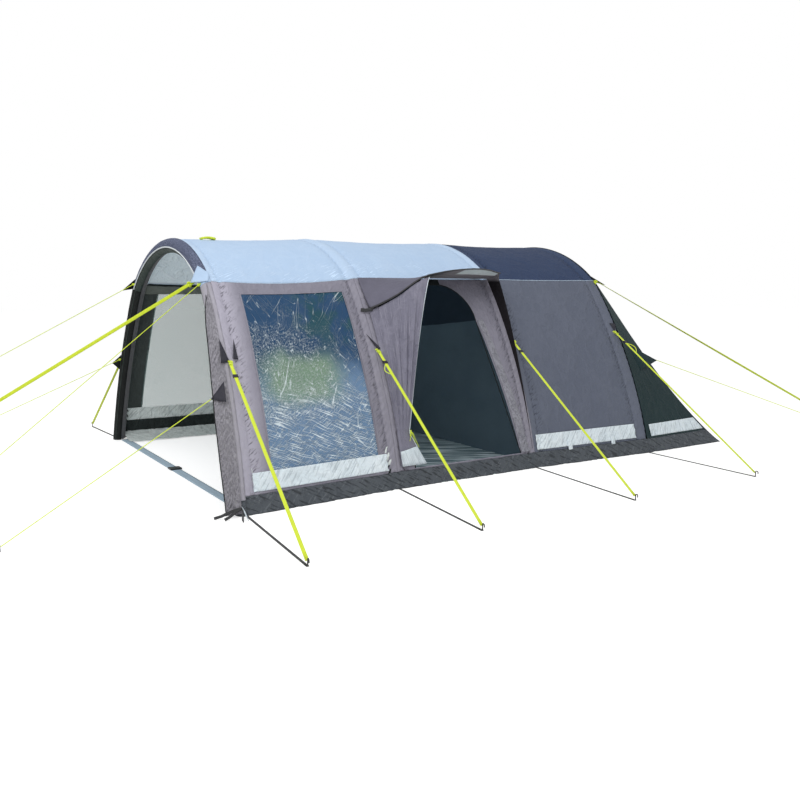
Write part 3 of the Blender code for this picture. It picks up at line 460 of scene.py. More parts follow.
def in_bay(x):
    """How far along its bay a place is, and the tunnel's half width at the foot there."""
    bay = 0 if x < ARCHES[1] else 1 if x < ARCHES[2] else 2
    along = (x - ARCHES[bay]) / (ARCHES[bay + 1] - ARCHES[bay])
    return along, FEET[bay] + (FEET[bay + 1] - FEET[bay]) * min(max(along, 0), 1)


def leaning(x, y, z):
    """The front arch leans back and stands a little lower, and the porch follows it."""
    share = min(max(1 - (x - ARCHES[0]) / (ARCHES[1] - ARCHES[0]), 0), 1) * z / RIDGE
    return Vector((x + FRONT_LEAN * share, y, z - FRONT_DROP * share))


def slack(along):
    """How much the cloth hangs between two arches: nothing at them, and most half way."""
    return 4 * along * (1 - along) if 0 < along < 1 else 0.0


def dip(x, along):
    """How far the eave hangs between two arches, most over the porch."""
    return (PORCH_EAVE_DIP if x < ARCHES[1] else OTHER_EAVE_DIP) * slack(along)


def wall(x, height, out=0.0, side=-1):
    """A place on the near wall, or on the far one, some way out from the tunnel's smooth skin."""
    along, foot = in_bay(x)
    half_chord = hypot(foot - EAVE_HALF, EAVE) / 2
    radius = (half_chord**2 + BULGE**2) / (2 * BULGE)
    way = Vector((EAVE, foot - EAVE_HALF)).normalized()
    centre = Vector(((foot + EAVE_HALF) / 2, EAVE / 2)) - way * (radius - BULGE)
    rise = asin((height - centre.y) / radius)
    out -= SAG * slack(along) * sin(pi * max(height - 0.13, 0) / 1.52)
    point = centre + Vector((cos(rise), sin(rise))) * (radius + out)
    lowered = point.y - dip(x, along) * max(height / EAVE, 0) ** 12
    return leaning(x, side * point.x, max(lowered, 0.0))


def roof(x, across, out=0.0):
    """A place on the roof, from -1 at the near eave to 1 at the far one."""
    along, _ = in_bay(x)
    out -= SAG * slack(along) * cos(pi * across / 2)
    turn = ROOF_TURN * across
    reach = ROOF_RADIUS + out
    height = RIDGE - ROOF_RADIUS + reach * cos(turn) - dip(x, along) * across**6
    return leaning(x, reach * sin(turn), height)


def around(x, way, out=0.0):
    """A place on the tunnel by the length of cloth from the near foot up over the ridge."""
    if way < WALL_AROUND:
        return wall(x, way / WALL_AROUND * EAVE, out)
    if way < ROOF_END:
        return roof(x, (way - WALL_AROUND) / ROOF_AROUND * 2 - 1, out)
    return wall(x, (ALL_AROUND - way) / WALL_AROUND * EAVE, out, 1)


made = Finish("tube_cloth", {"Sheen Weight": 0.2})
here = made.here()
creases = made.mottle(here, 26, 6)
weave = made.mottle(here, 700, 1)
sleeve = made.mix(creases, (0.05, 0.05, 0.055), (0.12, 0.12, 0.13))
tube_cloth = made.show(sleeve, 0.55 + creases * 0.2, creases + weave * 0.1, 0.004)
TUBE_FROM_GROUND = 0.038
for arch in range(4):
    depth = TUBE_DEPTH if arch else FRONT_TUBE_DEPTH
    path = []
    for share in shares(120):
        way = TUBE_FROM_GROUND + (ALL_AROUND - 2 * TUBE_FROM_GROUND) * share
        path.append(around(ARCHES[arch], way, -depth) + Vector((TUBES[arch] - ARCHES[arch], 0, 0)))
    beam = line(f"arch_{arch + 1}_tube", path, TUBE_RADIUS, tube_cloth, sides=7)
    worn_by(beam, "tent", "tube_cloth", f"air_arch_{arch + 1}")


# Roof
# Coated cloth, silver over the porch and the living bay and navy over the bedroom, sewn to sleeves
# that hold the arches. A stitched valley runs along both sides of each tube, and puckers cross it.
SEAM_BESIDE_TUBE = 0.068


def pull(x, way):
    """How far cloth stands off the smooth skin: valleys beside the tubes, puckers and slack."""
    out = 0.0
    for arch in TUBES:
        gap = abs(x - arch) - SEAM_BESIDE_TUBE
        if abs(gap) < 0.1:
            valley = exp(-((gap / 0.016) ** 2))
            pucker = exp(-((gap / 0.040) ** 2))
            jitter = ripple(x * 4, way * 3, arch)
            lift = 0.0055 * (0.7 + ripple(way * 2, arch, 3))
            wave = 1 + sin(way * 92 + gap * 110 + 5 * jitter)
            out -= 0.007 * valley + lift * pucker * wave
    out -= 0.004 * (1 + ripple(x * 2.1, way * 1.3, 4)) / 2
    return out + 0.0022 * ripple(x * 11, way * 5, 9)


def panel(name, place, low, high, *finishes, spacing=0.018, cut=(), thickness=0.0014):
    """Cloth cut to a flat pattern between two corners, less a cut-out, and put in its place."""
    net = bmesh.new()
    cells = [max(3, round((end - start) / spacing)) for start, end in zip(low, high)]
    bmesh.ops.create_grid(net, x_segments=cells[0], y_segments=cells[1], size=1)
    for point in net.verts:
        x, y = (point.co.x + 1) / 2, (point.co.y + 1) / 2
        point.co = (low[0] + (high[0] - low[0]) * x, low[1] + (high[1] - low[1]) * y, 0)
    edges = [(Vector(start), Vector(end)) for start, end in zip(cut, [*cut[1:], *cut[:1]])]
    for start, end in edges:
        way = end - start
        parts = net.verts[:] + net.edges[:] + net.faces[:]
        bmesh.ops.bisect_plane(net, geom=parts, plane_co=(*start, 0), plane_no=(way.y, -way.x, 0))
    if cut:
        inside = []
        for face in net.faces:
            middle = face.calc_center_median().xy
            if all((end - start).cross(middle - start) > 0 for start, end in edges):
                inside.append(face)
        bmesh.ops.delete(net, geom=inside, context="FACES")
    pattern = net.loops.layers.uv.new("pattern")
    for face in net.faces:
        for corner in face.loops:
            corner[pattern].uv = corner.vert.co.xy
    for point in net.verts:
        point.co = place(point.co.x, point.co.y)
    net.normal_update()
    outwards = 0.0
    for face in net.faces:
        middle = face.calc_center_median()
        outwards += face.normal.dot(middle - Vector((middle.x * 0.7, 0, 0.7)))
    if outwards < 0:
        bmesh.ops.reverse_faces(net, faces=net.faces[:])
    area = sum(face.calc_area() for face in net.faces)
    piece = put(name, net, *finishes)
    across, up = ([start + (end - start) * share for share in shares(24)]
                  for start, end in zip(low, high))
    columns = [[place(x, y) for y in up] for x in across]
    piece["cut"] = (max(map(measure, zip(*columns))), max(map(measure, columns)), area)
    return thicken(piece, thickness, lining=len(finishes) - 1)


def tent_cloth(piece, slot, *replaced):
    """A panel that rides on the tent."""
    worn_by(piece, "tent", slot, *replaced)
    width, length, area = piece["cut"]
    min(area, width * length)


def trim(slot, *pattern, **cutting):
    """A panel of small trim that rides on the tent."""
    worn_by(panel(*pattern, **cutting), "tent", slot)


def trim_line(slot, *course, **shape):
    """A piping or cord that rides on the tent."""
    worn_by(line(*course, **shape), "tent", slot)


def coated(name, colour, worn_and_lit, rough=0.55, crease=1.0, gloss=0.3, seams=False, drawn=None,
           shade_streaks=None, dark=0.35, lit_up_to=None):
    """Coated tent cloth: a fine weave, soft creases, patches of paler tone, and seams along the
    tubes.

    Cloth that is drawn has pale streaks of painted highlight on its folds, and cloth given shade
    streaks has dark streaks of painted shade in its rucks. Fold lines are painted lighter as
    highlights. Seamed cloth is painted lighter over the tubes as a highlight, with painted shade
    in the puckers beside them. Cloth lit up to a place along the tent is painted lighter in front
    of it, as painted light.
    """
    made = Finish(name, {"Specular IOR Level": gloss})
    flat, here = made.flat(), made.here()
    along, up = made.parts(flat, 0, 1)
    weave = (along * 4200).math("SINE") * (up * 4200).math("SINE")
    soft = made.mottle(here, 5, 5)
    folds = 1 - made.mottle(here, 7, 2, (1, 1, 0.5)).off(0.5).rising(0.0, 0.10)
    fine = 1 - made.mottle(here, 26, 3).off(0.5).rising(0.0, 0.07)
    patches = made.mottle(here, 1.7, 3)
    # The fold lines and fine creases add to the lighter colour as painted highlights, and to the
    # height.
    shade = patches * 0.55 + soft * 0.3 + folds * 0.16 + fine * 0.08 + weave * 0.03 - 0.1
    height = soft * crease + folds * (0.16 * crease) + fine * (0.06 * crease) + weave * 0.004
    crease_shade = made.streaks(flat, *shade_streaks) if shade_streaks else 0.0
    # Drawn cloth: pale streaks of painted highlight, only near the eaves on seamed cloth.
    if drawn:
        highlight_streaks = made.streaks(flat, *drawn)
        if seams:
            highlight_streaks = highlight_streaks * up.off().rising(0.70, 0.95)
        shade = shade + highlight_streaks * 0.9
        height = height + highlight_streaks * 0.05
    if seams:
        gap = along.off(TUBES[0])
        for arch in TUBES[1:]:
            gap = gap.math("MINIMUM", along.off(arch))
        seam = 1 - gap.off(SEAM_BESIDE_TUBE).rising(0.0015, 0.0040)
        row = 1 - gap.off(SEAM_BESIDE_TUBE + 0.010).rising(0.0006, 0.0016)
        stitches = row * (up * (2 * pi / 0.007)).math("SINE").rising(-0.2, 0.2)
        height = height - seam * 0.06 - stitches * 0.02
        # The seam is darker and its stitches paler, and the sleeve over each tube is painted
        # lighter, as a highlight on the raised cloth.
        shade = shade - seam * 0.35 + stitches * 0.30 + (1 - gap.rising(0.060, 0.068)) * 0.30
        # Beside the seams, dark streaks of painted shade fall in the puckers.
        beside = gap.rising(0.052, 0.070) * (0.15 if drawn else 1)
        beside = beside * (1 - gap.rising(0.075, 0.170))
        crease_shade = made.streaks(flat, 0.62, 90, 20, 0.53, 0.63) * beside + crease_shade
    cloth = made.mix(shade, colour, worn_and_lit)
    # Painted highlights: the drawn streaks turn nearly white where they bunch by the tubes.
    if drawn and seams:
        bunched = 1 - gap.rising(0.10, 0.36) + made.mottle(flat, 2.3, 1).rising(0.50, 0.58)
        pale = [channel * 1.45 for channel in worn_and_lit]
        cloth = made.mix(highlight_streaks * bunched.rising(0, 1) * 0.65, cloth, pale)
    # Painted light: the cloth is lighter towards the front, up to a place along the tent.
    if lit_up_to:
        painted_light = (1 - along.rising(lit_up_to - 0.16, lit_up_to)) * 0.8
        cloth = made.mix(painted_light, cloth, [channel * 1.55 for channel in worn_and_lit])
    # Painted shade: the dark streaks mix to a darker copy of the colour, and sink a little.
    if shade_streaks or seams:
        cloth = made.mix(crease_shade * 0.65, cloth, [channel * dark for channel in colour])
        height = height - crease_shade * 0.10
    return made.show(cloth, rough + soft * 0.15, height, 0.02)


# The silver has streaks of painted highlight near the eaves, nearly white where they bunch, and its
# sleeves over the tubes are painted lighter as a highlight.
silver = coated("silver_cloth", (0.41, 0.555, 0.755), (0.50, 0.635, 0.815), crease=0.35, seams=True,
                drawn=(0.42, 120, 8, 0.58, 0.68))
# Its lining glows a little: a painted glow that stands in for daylight coming through the silver
# cloth.
pale_lining = coated("pale_lining", (0.76, 0.87, 0.92), (0.86, 0.94, 0.96), rough=0.5, crease=1.5)
lining_shader = pale_lining.node_tree.nodes["Principled BSDF"]
lining_shader.inputs["Emission Color"].default_value = (0.72, 0.86, 1.0, 1)
lining_shader.inputs["Emission Strength"].default_value = 0.11
navy = coated("navy_cloth", (0.026, 0.043, 0.098), (0.041, 0.066, 0.134), rough=0.6, gloss=0.2,
              seams=True)
dark_lining = coated("dark_lining", (0.032, 0.042, 0.040), (0.060, 0.074, 0.070))
for name, node, start, end, outer, inner in (
    ("silver", "roof_front", ARCHES[0], ARCHES[2], silver, pale_lining),
    ("navy", "roof_rear", ARCHES[2], ARCHES[3], navy, dark_lining),
):
    top = panel(f"{name}_roof", lambda x, way: roof(x, way, pull(x, way * 1.1)), (start, -1),
                (end, 1), outer, inner, spacing=0.017)
    tent_cloth(top, f"{name}_cloth", node)


# Porch walls and windows
# Mauve-grey cloth frames a large window of clear vinyl film, welted in all round. The film has
# been folded for storage, so white creases cross it, and the sky and the trees that it reflects
# are painted into its tint, a painted reflection.
# The mauve is painted lighter near the front arch, as painted light on that lit end.
mauve = coated("mauve_cloth", (0.200, 0.195, 0.245), (0.300, 0.288, 0.345), seams=True,
               lit_up_to=ARCHES[0] + 0.24)
WALL_FOOT = 0.13
WINDOW = (ARCHES[0] + 0.225, ARCHES[0] + 1.145, 0.27, 1.55)
WELT = 0.012


def near(x, height, out=0.0):
    """A place on the near wall's cloth, some way out from it."""
    return wall(x, height, pull(x, height * 1.1) + out)


def far(x, height):
    """A place on the far wall's cloth."""
    return wall(x, height, pull(x, height * 1.1 + 20), 1)


def rectangle(x_low, x_high, z_low, z_high):
    return [(x_low, z_low), (x_high, z_low), (x_high, z_high), (x_low, z_high)]


def film(name, sky, trees, grass, low, streak, clear, creased=1.0):
    """Clear vinyl: a painted reflection of sky, trees and grass as its tint, and crossed by white
    creases from being folded.
    """
    made = Finish(name, {"Coat Weight": 0.12, "Coat Roughness": 0.08, "Specular IOR Level": 0.4})
    flat = made.flat()
    along, up = made.parts(flat, 0, 1)
    # The tint is the painted reflection: sky over a lower tone, with a patch of grass and dark
    # trees.
    wavy = made.mottle(flat, 3.5, 4) - 0.5
    level = up.rising(0.30, 1.50) + wavy * 0.5
    tint = made.mix(level.rising(0.35, 0.75), low, sky)
    left = along - (WINDOW[0] + 0.36) + wavy * 0.4
    meadow = 1 - left.off().rising(0.16, 0.44)
    meadow = meadow * (1 - (up - 0.90 + wavy * 0.3).off().rising(0.08, 0.26))
    tint = made.mix(meadow * 0.85, tint, grass)
    tree_reflection = (along + wavy * 0.4).rising(WINDOW[0] + 0.30, WINDOW[0] + 0.60)
    tree_reflection = tree_reflection * up.rising(1.0, 1.3) * made.mottle(flat, 5).rising(0.45, 0.6)
    tint = made.mix(tree_reflection * 0.8, tint, trees)
    warp = made.add("TexNoise", sockets={"Vector": flat, "Scale": 2.2, "Detail": 3}, output=1)
    warped = {0: warp, 1: (0.12, 0.12, 0), 2: flat}
    bent = made.add("VectorMath", {"operation": "MULTIPLY_ADD"}, warped)
    down = 1 - up.rising(0.40, 1.35)
    dense = (1 - left.rising(-0.1, 0.5)) * (1 - up.off(0.95).rising(0.15, 0.45))
    lines = None
    for weight, where, shown, streaks in (
        (0.8, dense + made.mottle(flat, 9, 3) * 0.9, (0.35, 1.0), (0.75, 260, 48, 0.54, 0.64)),
        (0.55, made.mottle(flat, 6, 3) + dense * 0.3, (0.42, 0.75), (-0.85, 260, 60, 0.56, 0.66)),
        (0.8, down + made.mottle(flat, 4, 3) - 0.5, (0.35, 0.80), (-0.38, 170, 6, 0.52, 0.64)),
        (0.65, down + made.mottle(flat, 3, 3) - 0.5, (0.30, 0.85), (0.60, 190, 13, 0.54, 0.66)),
    ):
        marks = made.streaks(bent, *streaks) * where.rising(*shown) * weight
        lines = marks if lines is None else lines + marks
    for turn, place in ((-0.75, 0.48), (0.70, 0.53), (-1.1, 0.46), (1.2, 0.50)):
        sockets = {"Vector": bent, "Rotation": (0, 0, turn), "Scale": (1.6, 0.12, 1)}
        sockets["Location"] = (place, 0, 0)
        turned = made.add("Mapping", {"vector_type": "TEXTURE"}, sockets)
        sweep = made.mottle(turned, 1.6, 1).off(place)
        crease = 1 - sweep.rising(0.001, 0.0045)
        lines = lines + crease * made.mottle(flat, 5 + turn, 1).rising(0.40, 0.50) * 0.6
    web = lines.rising(0.0, 1.0) * creased
    made.join(made.shader.inputs["Alpha"], clear + web * (1 - clear))
    seen = made.mix(web * 0.85, tint, streak)
    return made.show(seen, 0.16 + web * 0.3, web + wavy * 1.5, 0.004 * creased)


near_film = film("near_window_film", (0.012, 0.062, 0.150), (0.008, 0.072, 0.085),
                 (0.22, 0.35, 0.21), (0.145, 0.255, 0.420), (0.86, 0.96, 1.0), 0.90)
# The far window's tint is painted light: one even pale colour for the daylight seen through it.
FAR_VIEW = (0.30, 0.44, 0.42)
far_film = film("far_window_film", FAR_VIEW, FAR_VIEW, FAR_VIEW, FAR_VIEW, (0.45, 0.54, 0.53), 0.43,
                creased=0.06)
SIDES = (("near", -1), ("far", 1))
opening = rectangle(*WINDOW)
margin = rectangle(WINDOW[0] - WELT, WINDOW[1] + WELT, WINDOW[2] - WELT, WINDOW[3] + WELT)
for (side, sign), place, glass in zip(SIDES, (near, far), (near_film, far_film)):
    porch = panel(f"porch_wall_{side}_cloth", place, (ARCHES[0], WALL_FOOT), (ARCHES[1], EAVE),
                  mauve, dark_lining, spacing=0.0115, cut=opening)
    tent_cloth(porch, "mauve_cloth", f"porch_wall_{side}")

    def pane_place(x, height):
        return wall(x, height, -0.004 + 0.003 * ripple(x * 6, height * 6, sign), sign)

    def welt_place(x, height):
        return place(x, height) + Vector((0, sign * 0.0022, 0.0008))

    pane = panel(f"porch_window_{side}_film", pane_place, margin[0], margin[2], glass,
                 thickness=0.0008)
    tent_cloth(pane, "clear_film", f"porch_window_{side}")
    trim("mauve_cloth", f"porch_window_{side}_welt", welt_place, margin[0], margin[2], mauve,
         spacing=0.012, cut=opening, thickness=0.0018)


# Eave piping
# A pale cord sewn into the seam where the roof meets the walls. It runs the whole length of both
# eaves.
eave_cord = coated("eave_cord", (0.44, 0.56, 0.70), (0.60, 0.70, 0.82))
EAVE_CORD_RADIUS, EAVE_LENGTH = 0.0030, ARCHES[3] - ARCHES[0]
for side, place in (("near", near), ("far", far)):
    course = [place(ARCHES[0] + EAVE_LENGTH * share, EAVE - 0.001) for share in shares(160)]
    trim_line("silver_cloth", f"eave_piping_{side}", course, EAVE_CORD_RADIUS, eave_cord)


# Inner bands of the porch
# Inside the porch the walls have a pale turned-up hem, a black band under it, and a loose pale mud
# flap that lies in on the ground. A slate valance hangs along the eave.
# The pale hem has dark streaks of painted shade in its rucks.
inner_pale = coated("inner_pale_cloth", (0.74, 0.82, 0.80), (0.92, 0.96, 0.95), crease=2.0,
                    shade_streaks=(0.9, 60, 8, 0.50, 0.64), dark=0.55)
inner_black = coated("inner_black_cloth", (0.008, 0.012, 0.012), (0.040, 0.052, 0.050), crease=2.0,
                     gloss=0.2)
valance_cloth = coated("valance_cloth", (0.13, 0.15, 0.13), (0.20, 0.22, 0.20))
FLAP_HEM, FLAP_REACH, FLAP_LIES = 0.075, 0.30, 0.006


def gathered(along, up, size):
    """Small sharp folds that lean along a strip of loose cloth."""
    fold = ripple(along * 15 + up * 14, up * 4, 8)
    return size * (1 - 4 * abs(fold)) + size * 0.5 * ripple(along * 45, up * 25, 2)


def mud_flap(x, share, sign):
    """A place on a mud flap, from its hem on the wall to its free edge on the ground."""
    hem = wall(x, FLAP_HEM, -0.016, sign)
    reach = FLAP_REACH + 0.04 * ripple(x * 4, sign, 0)
    point = hem.lerp(Vector((x, sign * (abs(hem.y) - reach), FLAP_LIES)), share)
    fall = (hem.z - FLAP_LIES) * (1 - share) ** 3
    point.z = FLAP_LIES + fall + abs(gathered(x, share * 0.4, 0.006))
    return point


for side, sign in SIDES:
    for name, low, high, depth, finish in (
        ("inner_hem", 0.195, 0.335, 0.013, inner_pale),
        ("inner_band", 0.060, 0.200, 0.017, inner_black),
        ("valance", 1.560, 1.645, 0.030, valance_cloth),
    ):
        trim("charcoal_cloth", f"porch_{name}_{side}",
             lambda x, up: wall(x, up, gathered(x, up, 0.0025) - depth, sign),
             (ARCHES[0] + 0.07, low), (ARCHES[1] - 0.02, high), finish, spacing=0.014)
    trim("silver_cloth", f"porch_mud_flap_{side}", lambda x, share: mud_flap(x, share, sign),
         (ARCHES[0] + 0.05, 0), (ARCHES[1] - 0.02, 1), inner_pale, spacing=0.016)


# Door wall
# The living bay's near wall. A tall doorway is cut in it, upright at the front and slanting at the
# rear, and bound all round with tape. Its door leaf is rolled away out of sight.
DOOR_FRONT, DOOR_REAR, DOOR_SLANT = ARCHES[1] + 0.17, ARCHES[1] + 1.27, 0.20
DOOR_BOTTOM, DOOR_TOP = 0.145, 1.60
DOOR_LEAN = DOOR_SLANT / (DOOR_TOP - DOOR_BOTTOM)
FRONT_ROUND, REAR_ROUND, REAR_ROUND_FROM = 0.16, 0.30, 0.137


def rounded(x, z, radius, start, end):
    """An upper corner of the doorway, about its centre."""
    turns = [start + (end - start) * share for share in shares(8)]
    return [(x + radius * cos(turn), z + radius * sin(turn)) for turn in turns]


rear_z = DOOR_TOP - REAR_ROUND
rear_x = DOOR_REAR - DOOR_LEAN * (rear_z - DOOR_BOTTOM) - REAR_ROUND * hypot(1, DOOR_LEAN)
doorway = [
    (DOOR_FRONT, DOOR_BOTTOM), (DOOR_REAR, DOOR_BOTTOM),
    *rounded(rear_x, rear_z, REAR_ROUND, REAR_ROUND_FROM, pi / 2),
    *rounded(DOOR_FRONT + FRONT_ROUND, DOOR_TOP - FRONT_ROUND, FRONT_ROUND, pi / 2, pi),
]
door_wall = panel("door_wall_cloth", near, (ARCHES[1], WALL_FOOT), (ARCHES[2], EAVE), mauve,
                  dark_lining, spacing=0.0125, cut=doorway)
tent_cloth(door_wall, "mauve_cloth", "door_wall")
black_binding = coated("black_binding", (0.006, 0.009, 0.010), (0.016, 0.021, 0.023), gloss=0.2)
BINDING_OUT, BINDING_RADIUS = 0.003, 0.0045
trim("mauve_cloth", "door_head_cloth", lambda x, up: near(x, up, BINDING_OUT),
     (DOOR_FRONT - 0.02, 1.36), (DOOR_REAR - 0.42, EAVE - 0.004), black_binding, spacing=0.014,
     cut=doorway)
bound = [near(x, up, BINDING_OUT) for x, up in doorway[1:]]
bound += [wall(DOOR_FRONT, up) for up in (1.1, 0.8, 0.5, DOOR_BOTTOM)]
trim_line("mauve_cloth", "door_binding", bound, BINDING_RADIUS, black_binding)


def jamb(share, up):
    """The crumpled strip beside the doorway's slanting rear edge, wider at its foot."""
    x = DOOR_REAR - DOOR_LEAN * (up - DOOR_BOTTOM) + 0.012 + (0.100 - 0.030 * up) * share
    dent = ripple(share * 1.5 + up * 3, up * 26 + share * 3, 4)
    return near(x, up, 0.006 + 0.006 * (1 - 3.5 * abs(dent)) * sin(pi * share))


# A lighter copy of the mauve, as painted sunlight on the strip, with dark streaks of painted shade
# in its crumples.
jamb_cloth = coated("jamb_cloth", (0.22, 0.22, 0.26), (0.46, 0.46, 0.52), crease=2.0,
                    shade_streaks=(0.25, 75, 22, 0.54, 0.64))
trim("mauve_cloth", "door_jamb_cloth", jamb, (0, 0.15), (1, 1.29), jamb_cloth, spacing=0.009)


# Bedroom wall and far wall
# Charcoal cloth, darker than the porch: one panel beside the bedroom on the near side, and one over
# the two rear bays on the far side.
charcoal = coated("charcoal_cloth", (0.098, 0.114, 0.158), (0.142, 0.158, 0.208), seams=True)
for name, node, place, start, spacing in (
    ("bedroom_wall_cloth", "bedroom_wall_near", near, ARCHES[2], 0.0125),
    ("far_wall_cloth", "side_wall_far", far, ARCHES[1], 0.02),
):
    bay_wall = panel(name, place, (start, WALL_FOOT), (ARCHES[3], EAVE), charcoal, dark_lining,
                     spacing=spacing)
    tent_cloth(bay_wall, "charcoal_cloth", node)


# Rear end
# Two leaning three-cornered sides and a broad sloping back, in green-black cloth. Tension draws
# the slope forwards between the last arch and the ground.
SLOPE_DRAWN = 0.135


def slope(foot, top, share):
    """A place on the way up the slope, from the ground to the last arch."""
    point = foot.lerp(top, share)
    point.x -= SLOPE_DRAWN * sin(pi * share**0.7)
    return point


def rear_edge(height, side):
    """A place on the edge where a rear side meets the back."""
    top = Vector((ARCHES[3], side * EAVE_HALF, EAVE))
    return slope(Vector((REAR, side * HALF_WIDTH, 0)), top, height / EAVE)


def rear_side(share, height, side=-1):
    """A place on a rear side, a share of the way back from the last arch."""
    loose = 0.004 * ripple(share * 3, height * 2, side) * sin(pi * share)
    return wall(ARCHES[3], height, loose, side).lerp(rear_edge(height, side), share)


def rear_back(across, share):
    """A place on the sloping back, from -1 to 1 across and a share of the way up it."""
    foot = Vector((REAR, HALF_WIDTH * across, 0))
    loose = 0.006 * ripple(across * 3, share * 3, 7) * sin(pi * share)
    return slope(foot, roof(ARCHES[3], across), share) + Vector((loose, 0, loose * 0.6))


green_black = coated("green_black_cloth", (0.008, 0.024, 0.028), (0.020, 0.042, 0.046), rough=0.5,
                     gloss=0.2)
for side, sign in SIDES:
    rear_piece = panel(f"rear_side_{side}_cloth", lambda share, up: rear_side(share, up, sign),
                       (0, WALL_FOOT), (1, EAVE - 0.004), green_black, dark_lining, spacing=0.02)
    tent_cloth(rear_piece, "green_black_cloth", f"rear_side_{side}")
back = panel("rear_slope_cloth", rear_back, (-1, 0.002), (1, 1), green_black, dark_lining)
tent_cloth(back, "green_black_cloth", "rear_wall")


# Skirts
# A strip of dark cloth all round the foot of the walls, loose enough to fold, that is pegged or
# weighed down. Above it, along each bay, runs a pale splash band.
# The skirt has streaks of painted highlight and painted shade on its folds, and the splash band
# dark streaks of painted shade.
skirt_cloth = coated("skirt_cloth", (0.058, 0.068, 0.082), (0.120, 0.135, 0.152), crease=1.8,
                     drawn=(0.8, 55, 11, 0.57, 0.70), shade_streaks=(-0.5, 60, 9, 0.53, 0.64), dark=0.25)
pale_band = coated("pale_band_cloth", (0.68, 0.79, 0.86), (0.90, 0.96, 1.00), crease=1.5,
                   shade_streaks=(0.9, 75, 7, 0.50, 0.66), dark=0.62)


def skirt(x, height, side):
    """A place on a skirt, which folds more the nearer it is to the ground."""
    loose = 0.018 * ripple(x * 7, height * 3, side) + gathered(x, height, 0.006)
    folds = (1 - height / 0.15) * loose
    if x <= ARCHES[3]:
        return wall(x, height, folds, side)
    share = (x - ARCHES[3]) / (REAR - ARCHES[3])
    return wall(ARCHES[3], height, folds, side).lerp(rear_edge(height, side), share)


def bay_band(x, height, side):
    """A place on the splash band of a bay."""
    return wall(x, height, pull(x, height * 1.1) + 0.0075 + gathered(x, height, 0.002), side)


def rear_band(share, height, side):
    """A place on the splash band of a rear side."""
    out = 0.004 + gathered(share, height, 0.002)
    return rear_side(share, height, side) + Vector((0, side * out, 0))


def hanger(x, height, side):
    """A place on the short tabs that hang from the bedroom's band."""
    return wall(x, height, 0.011, side)


for side, sign in SIDES:
    strip = panel(f"skirt_{side}_cloth", lambda x, up: skirt(x, up, sign), (ARCHES[0], 0),
                  (REAR, 0.132), skirt_cloth, dark_lining, spacing=0.012)
    tent_cloth(strip, "charcoal_cloth", f"skirt_{side}")
    for name, place, low, high, spacing in (
        ("1", bay_band, (ARCHES[0] + 0.070, 0.152), (ARCHES[1] - 0.085, 0.282), 0.009),
        ("2", bay_band, (ARCHES[2] + 0.030, 0.152), (ARCHES[3] - 0.135, 0.282), 0.009),
        ("rear", rear_band, (0.07, 0.150), (0.965, 0.262), 0.012),
        ("hanger_1", hanger, (0.550, 0.120), (0.598, 0.200), 0.008),
        ("hanger_2", hanger, (1.070, 0.120), (1.118, 0.200), 0.008),
    ):
        trim("silver_cloth", f"splash_band_{side}_{name}", lambda x, up: place(x, up, sign), low,
             high, pale_band, spacing=spacing)


# Facing of the front arch
# Flecked grey cloth covers the tube of the open end over the roof, with a bright zip for the front
# door along it. The legs are mauve outside and black inside.
made = Finish("melange_cloth", {"Specular IOR Level": 0.15})
flecks = made.mottle(made.here(), 170, 2).rising(0.42, 0.62)
flecked = made.mix(flecks, (0.034, 0.044, 0.082), (0.215, 0.240, 0.345))
melange_cloth = made.show(flecked, 0.85, flecks, 0.0006)
black_cloth = coated("black_cloth", (0.004, 0.005, 0.005), (0.015, 0.018, 0.017), gloss=0.15)
# The near leg's outside is a lighter copy of the mauve, as painted light on the lit leg.
lit_leg_mauve = coated("lit_leg_mauve_cloth", (0.300, 0.288, 0.335), (0.460, 0.445, 0.505))
facing_green = coated("facing_green", (0.018, 0.030, 0.026), (0.036, 0.052, 0.045))
BAND_RADIUS = 0.0611
HALF_GIRTH = pi * BAND_RADIUS
ZIP_TURN = 0.59


def facing(girth, way):
    """A place on the facing: how far round the tube, and how far along it from the near foot."""
    turn = girth / BAND_RADIUS
    reach = BAND_RADIUS + 0.0015 * ripple(way * 14, girth * 30, 2)
    point = around(ARCHES[0], way, -(BAND_RADIUS - reach * cos(turn)))
    return point - Vector((reach * sin(turn), 0, 0))


for name, start, end, split, outer, inner in (
    ("near_leg", 0.003, WALL_AROUND, 0.60, lit_leg_mauve, black_cloth),
    ("arch", WALL_AROUND, ROOF_END, ZIP_TURN, melange_cloth, facing_green),
    ("far_leg", ROOF_END, ALL_AROUND - 0.003, 0.06, mauve, black_cloth),
):
    seam = HALF_GIRTH * split
    outside = panel(f"facing_{name}_outer", facing, (0, start), (seam, end), outer, spacing=0.014)
    inside = panel(f"facing_{name}_inner", facing, (seam, start), (HALF_GIRTH, end), inner,
                   spacing=0.014)
    tent_cloth(outside, "melange_cloth", "front_arch_facing")
    tent_cloth(inside, "melange_cloth")

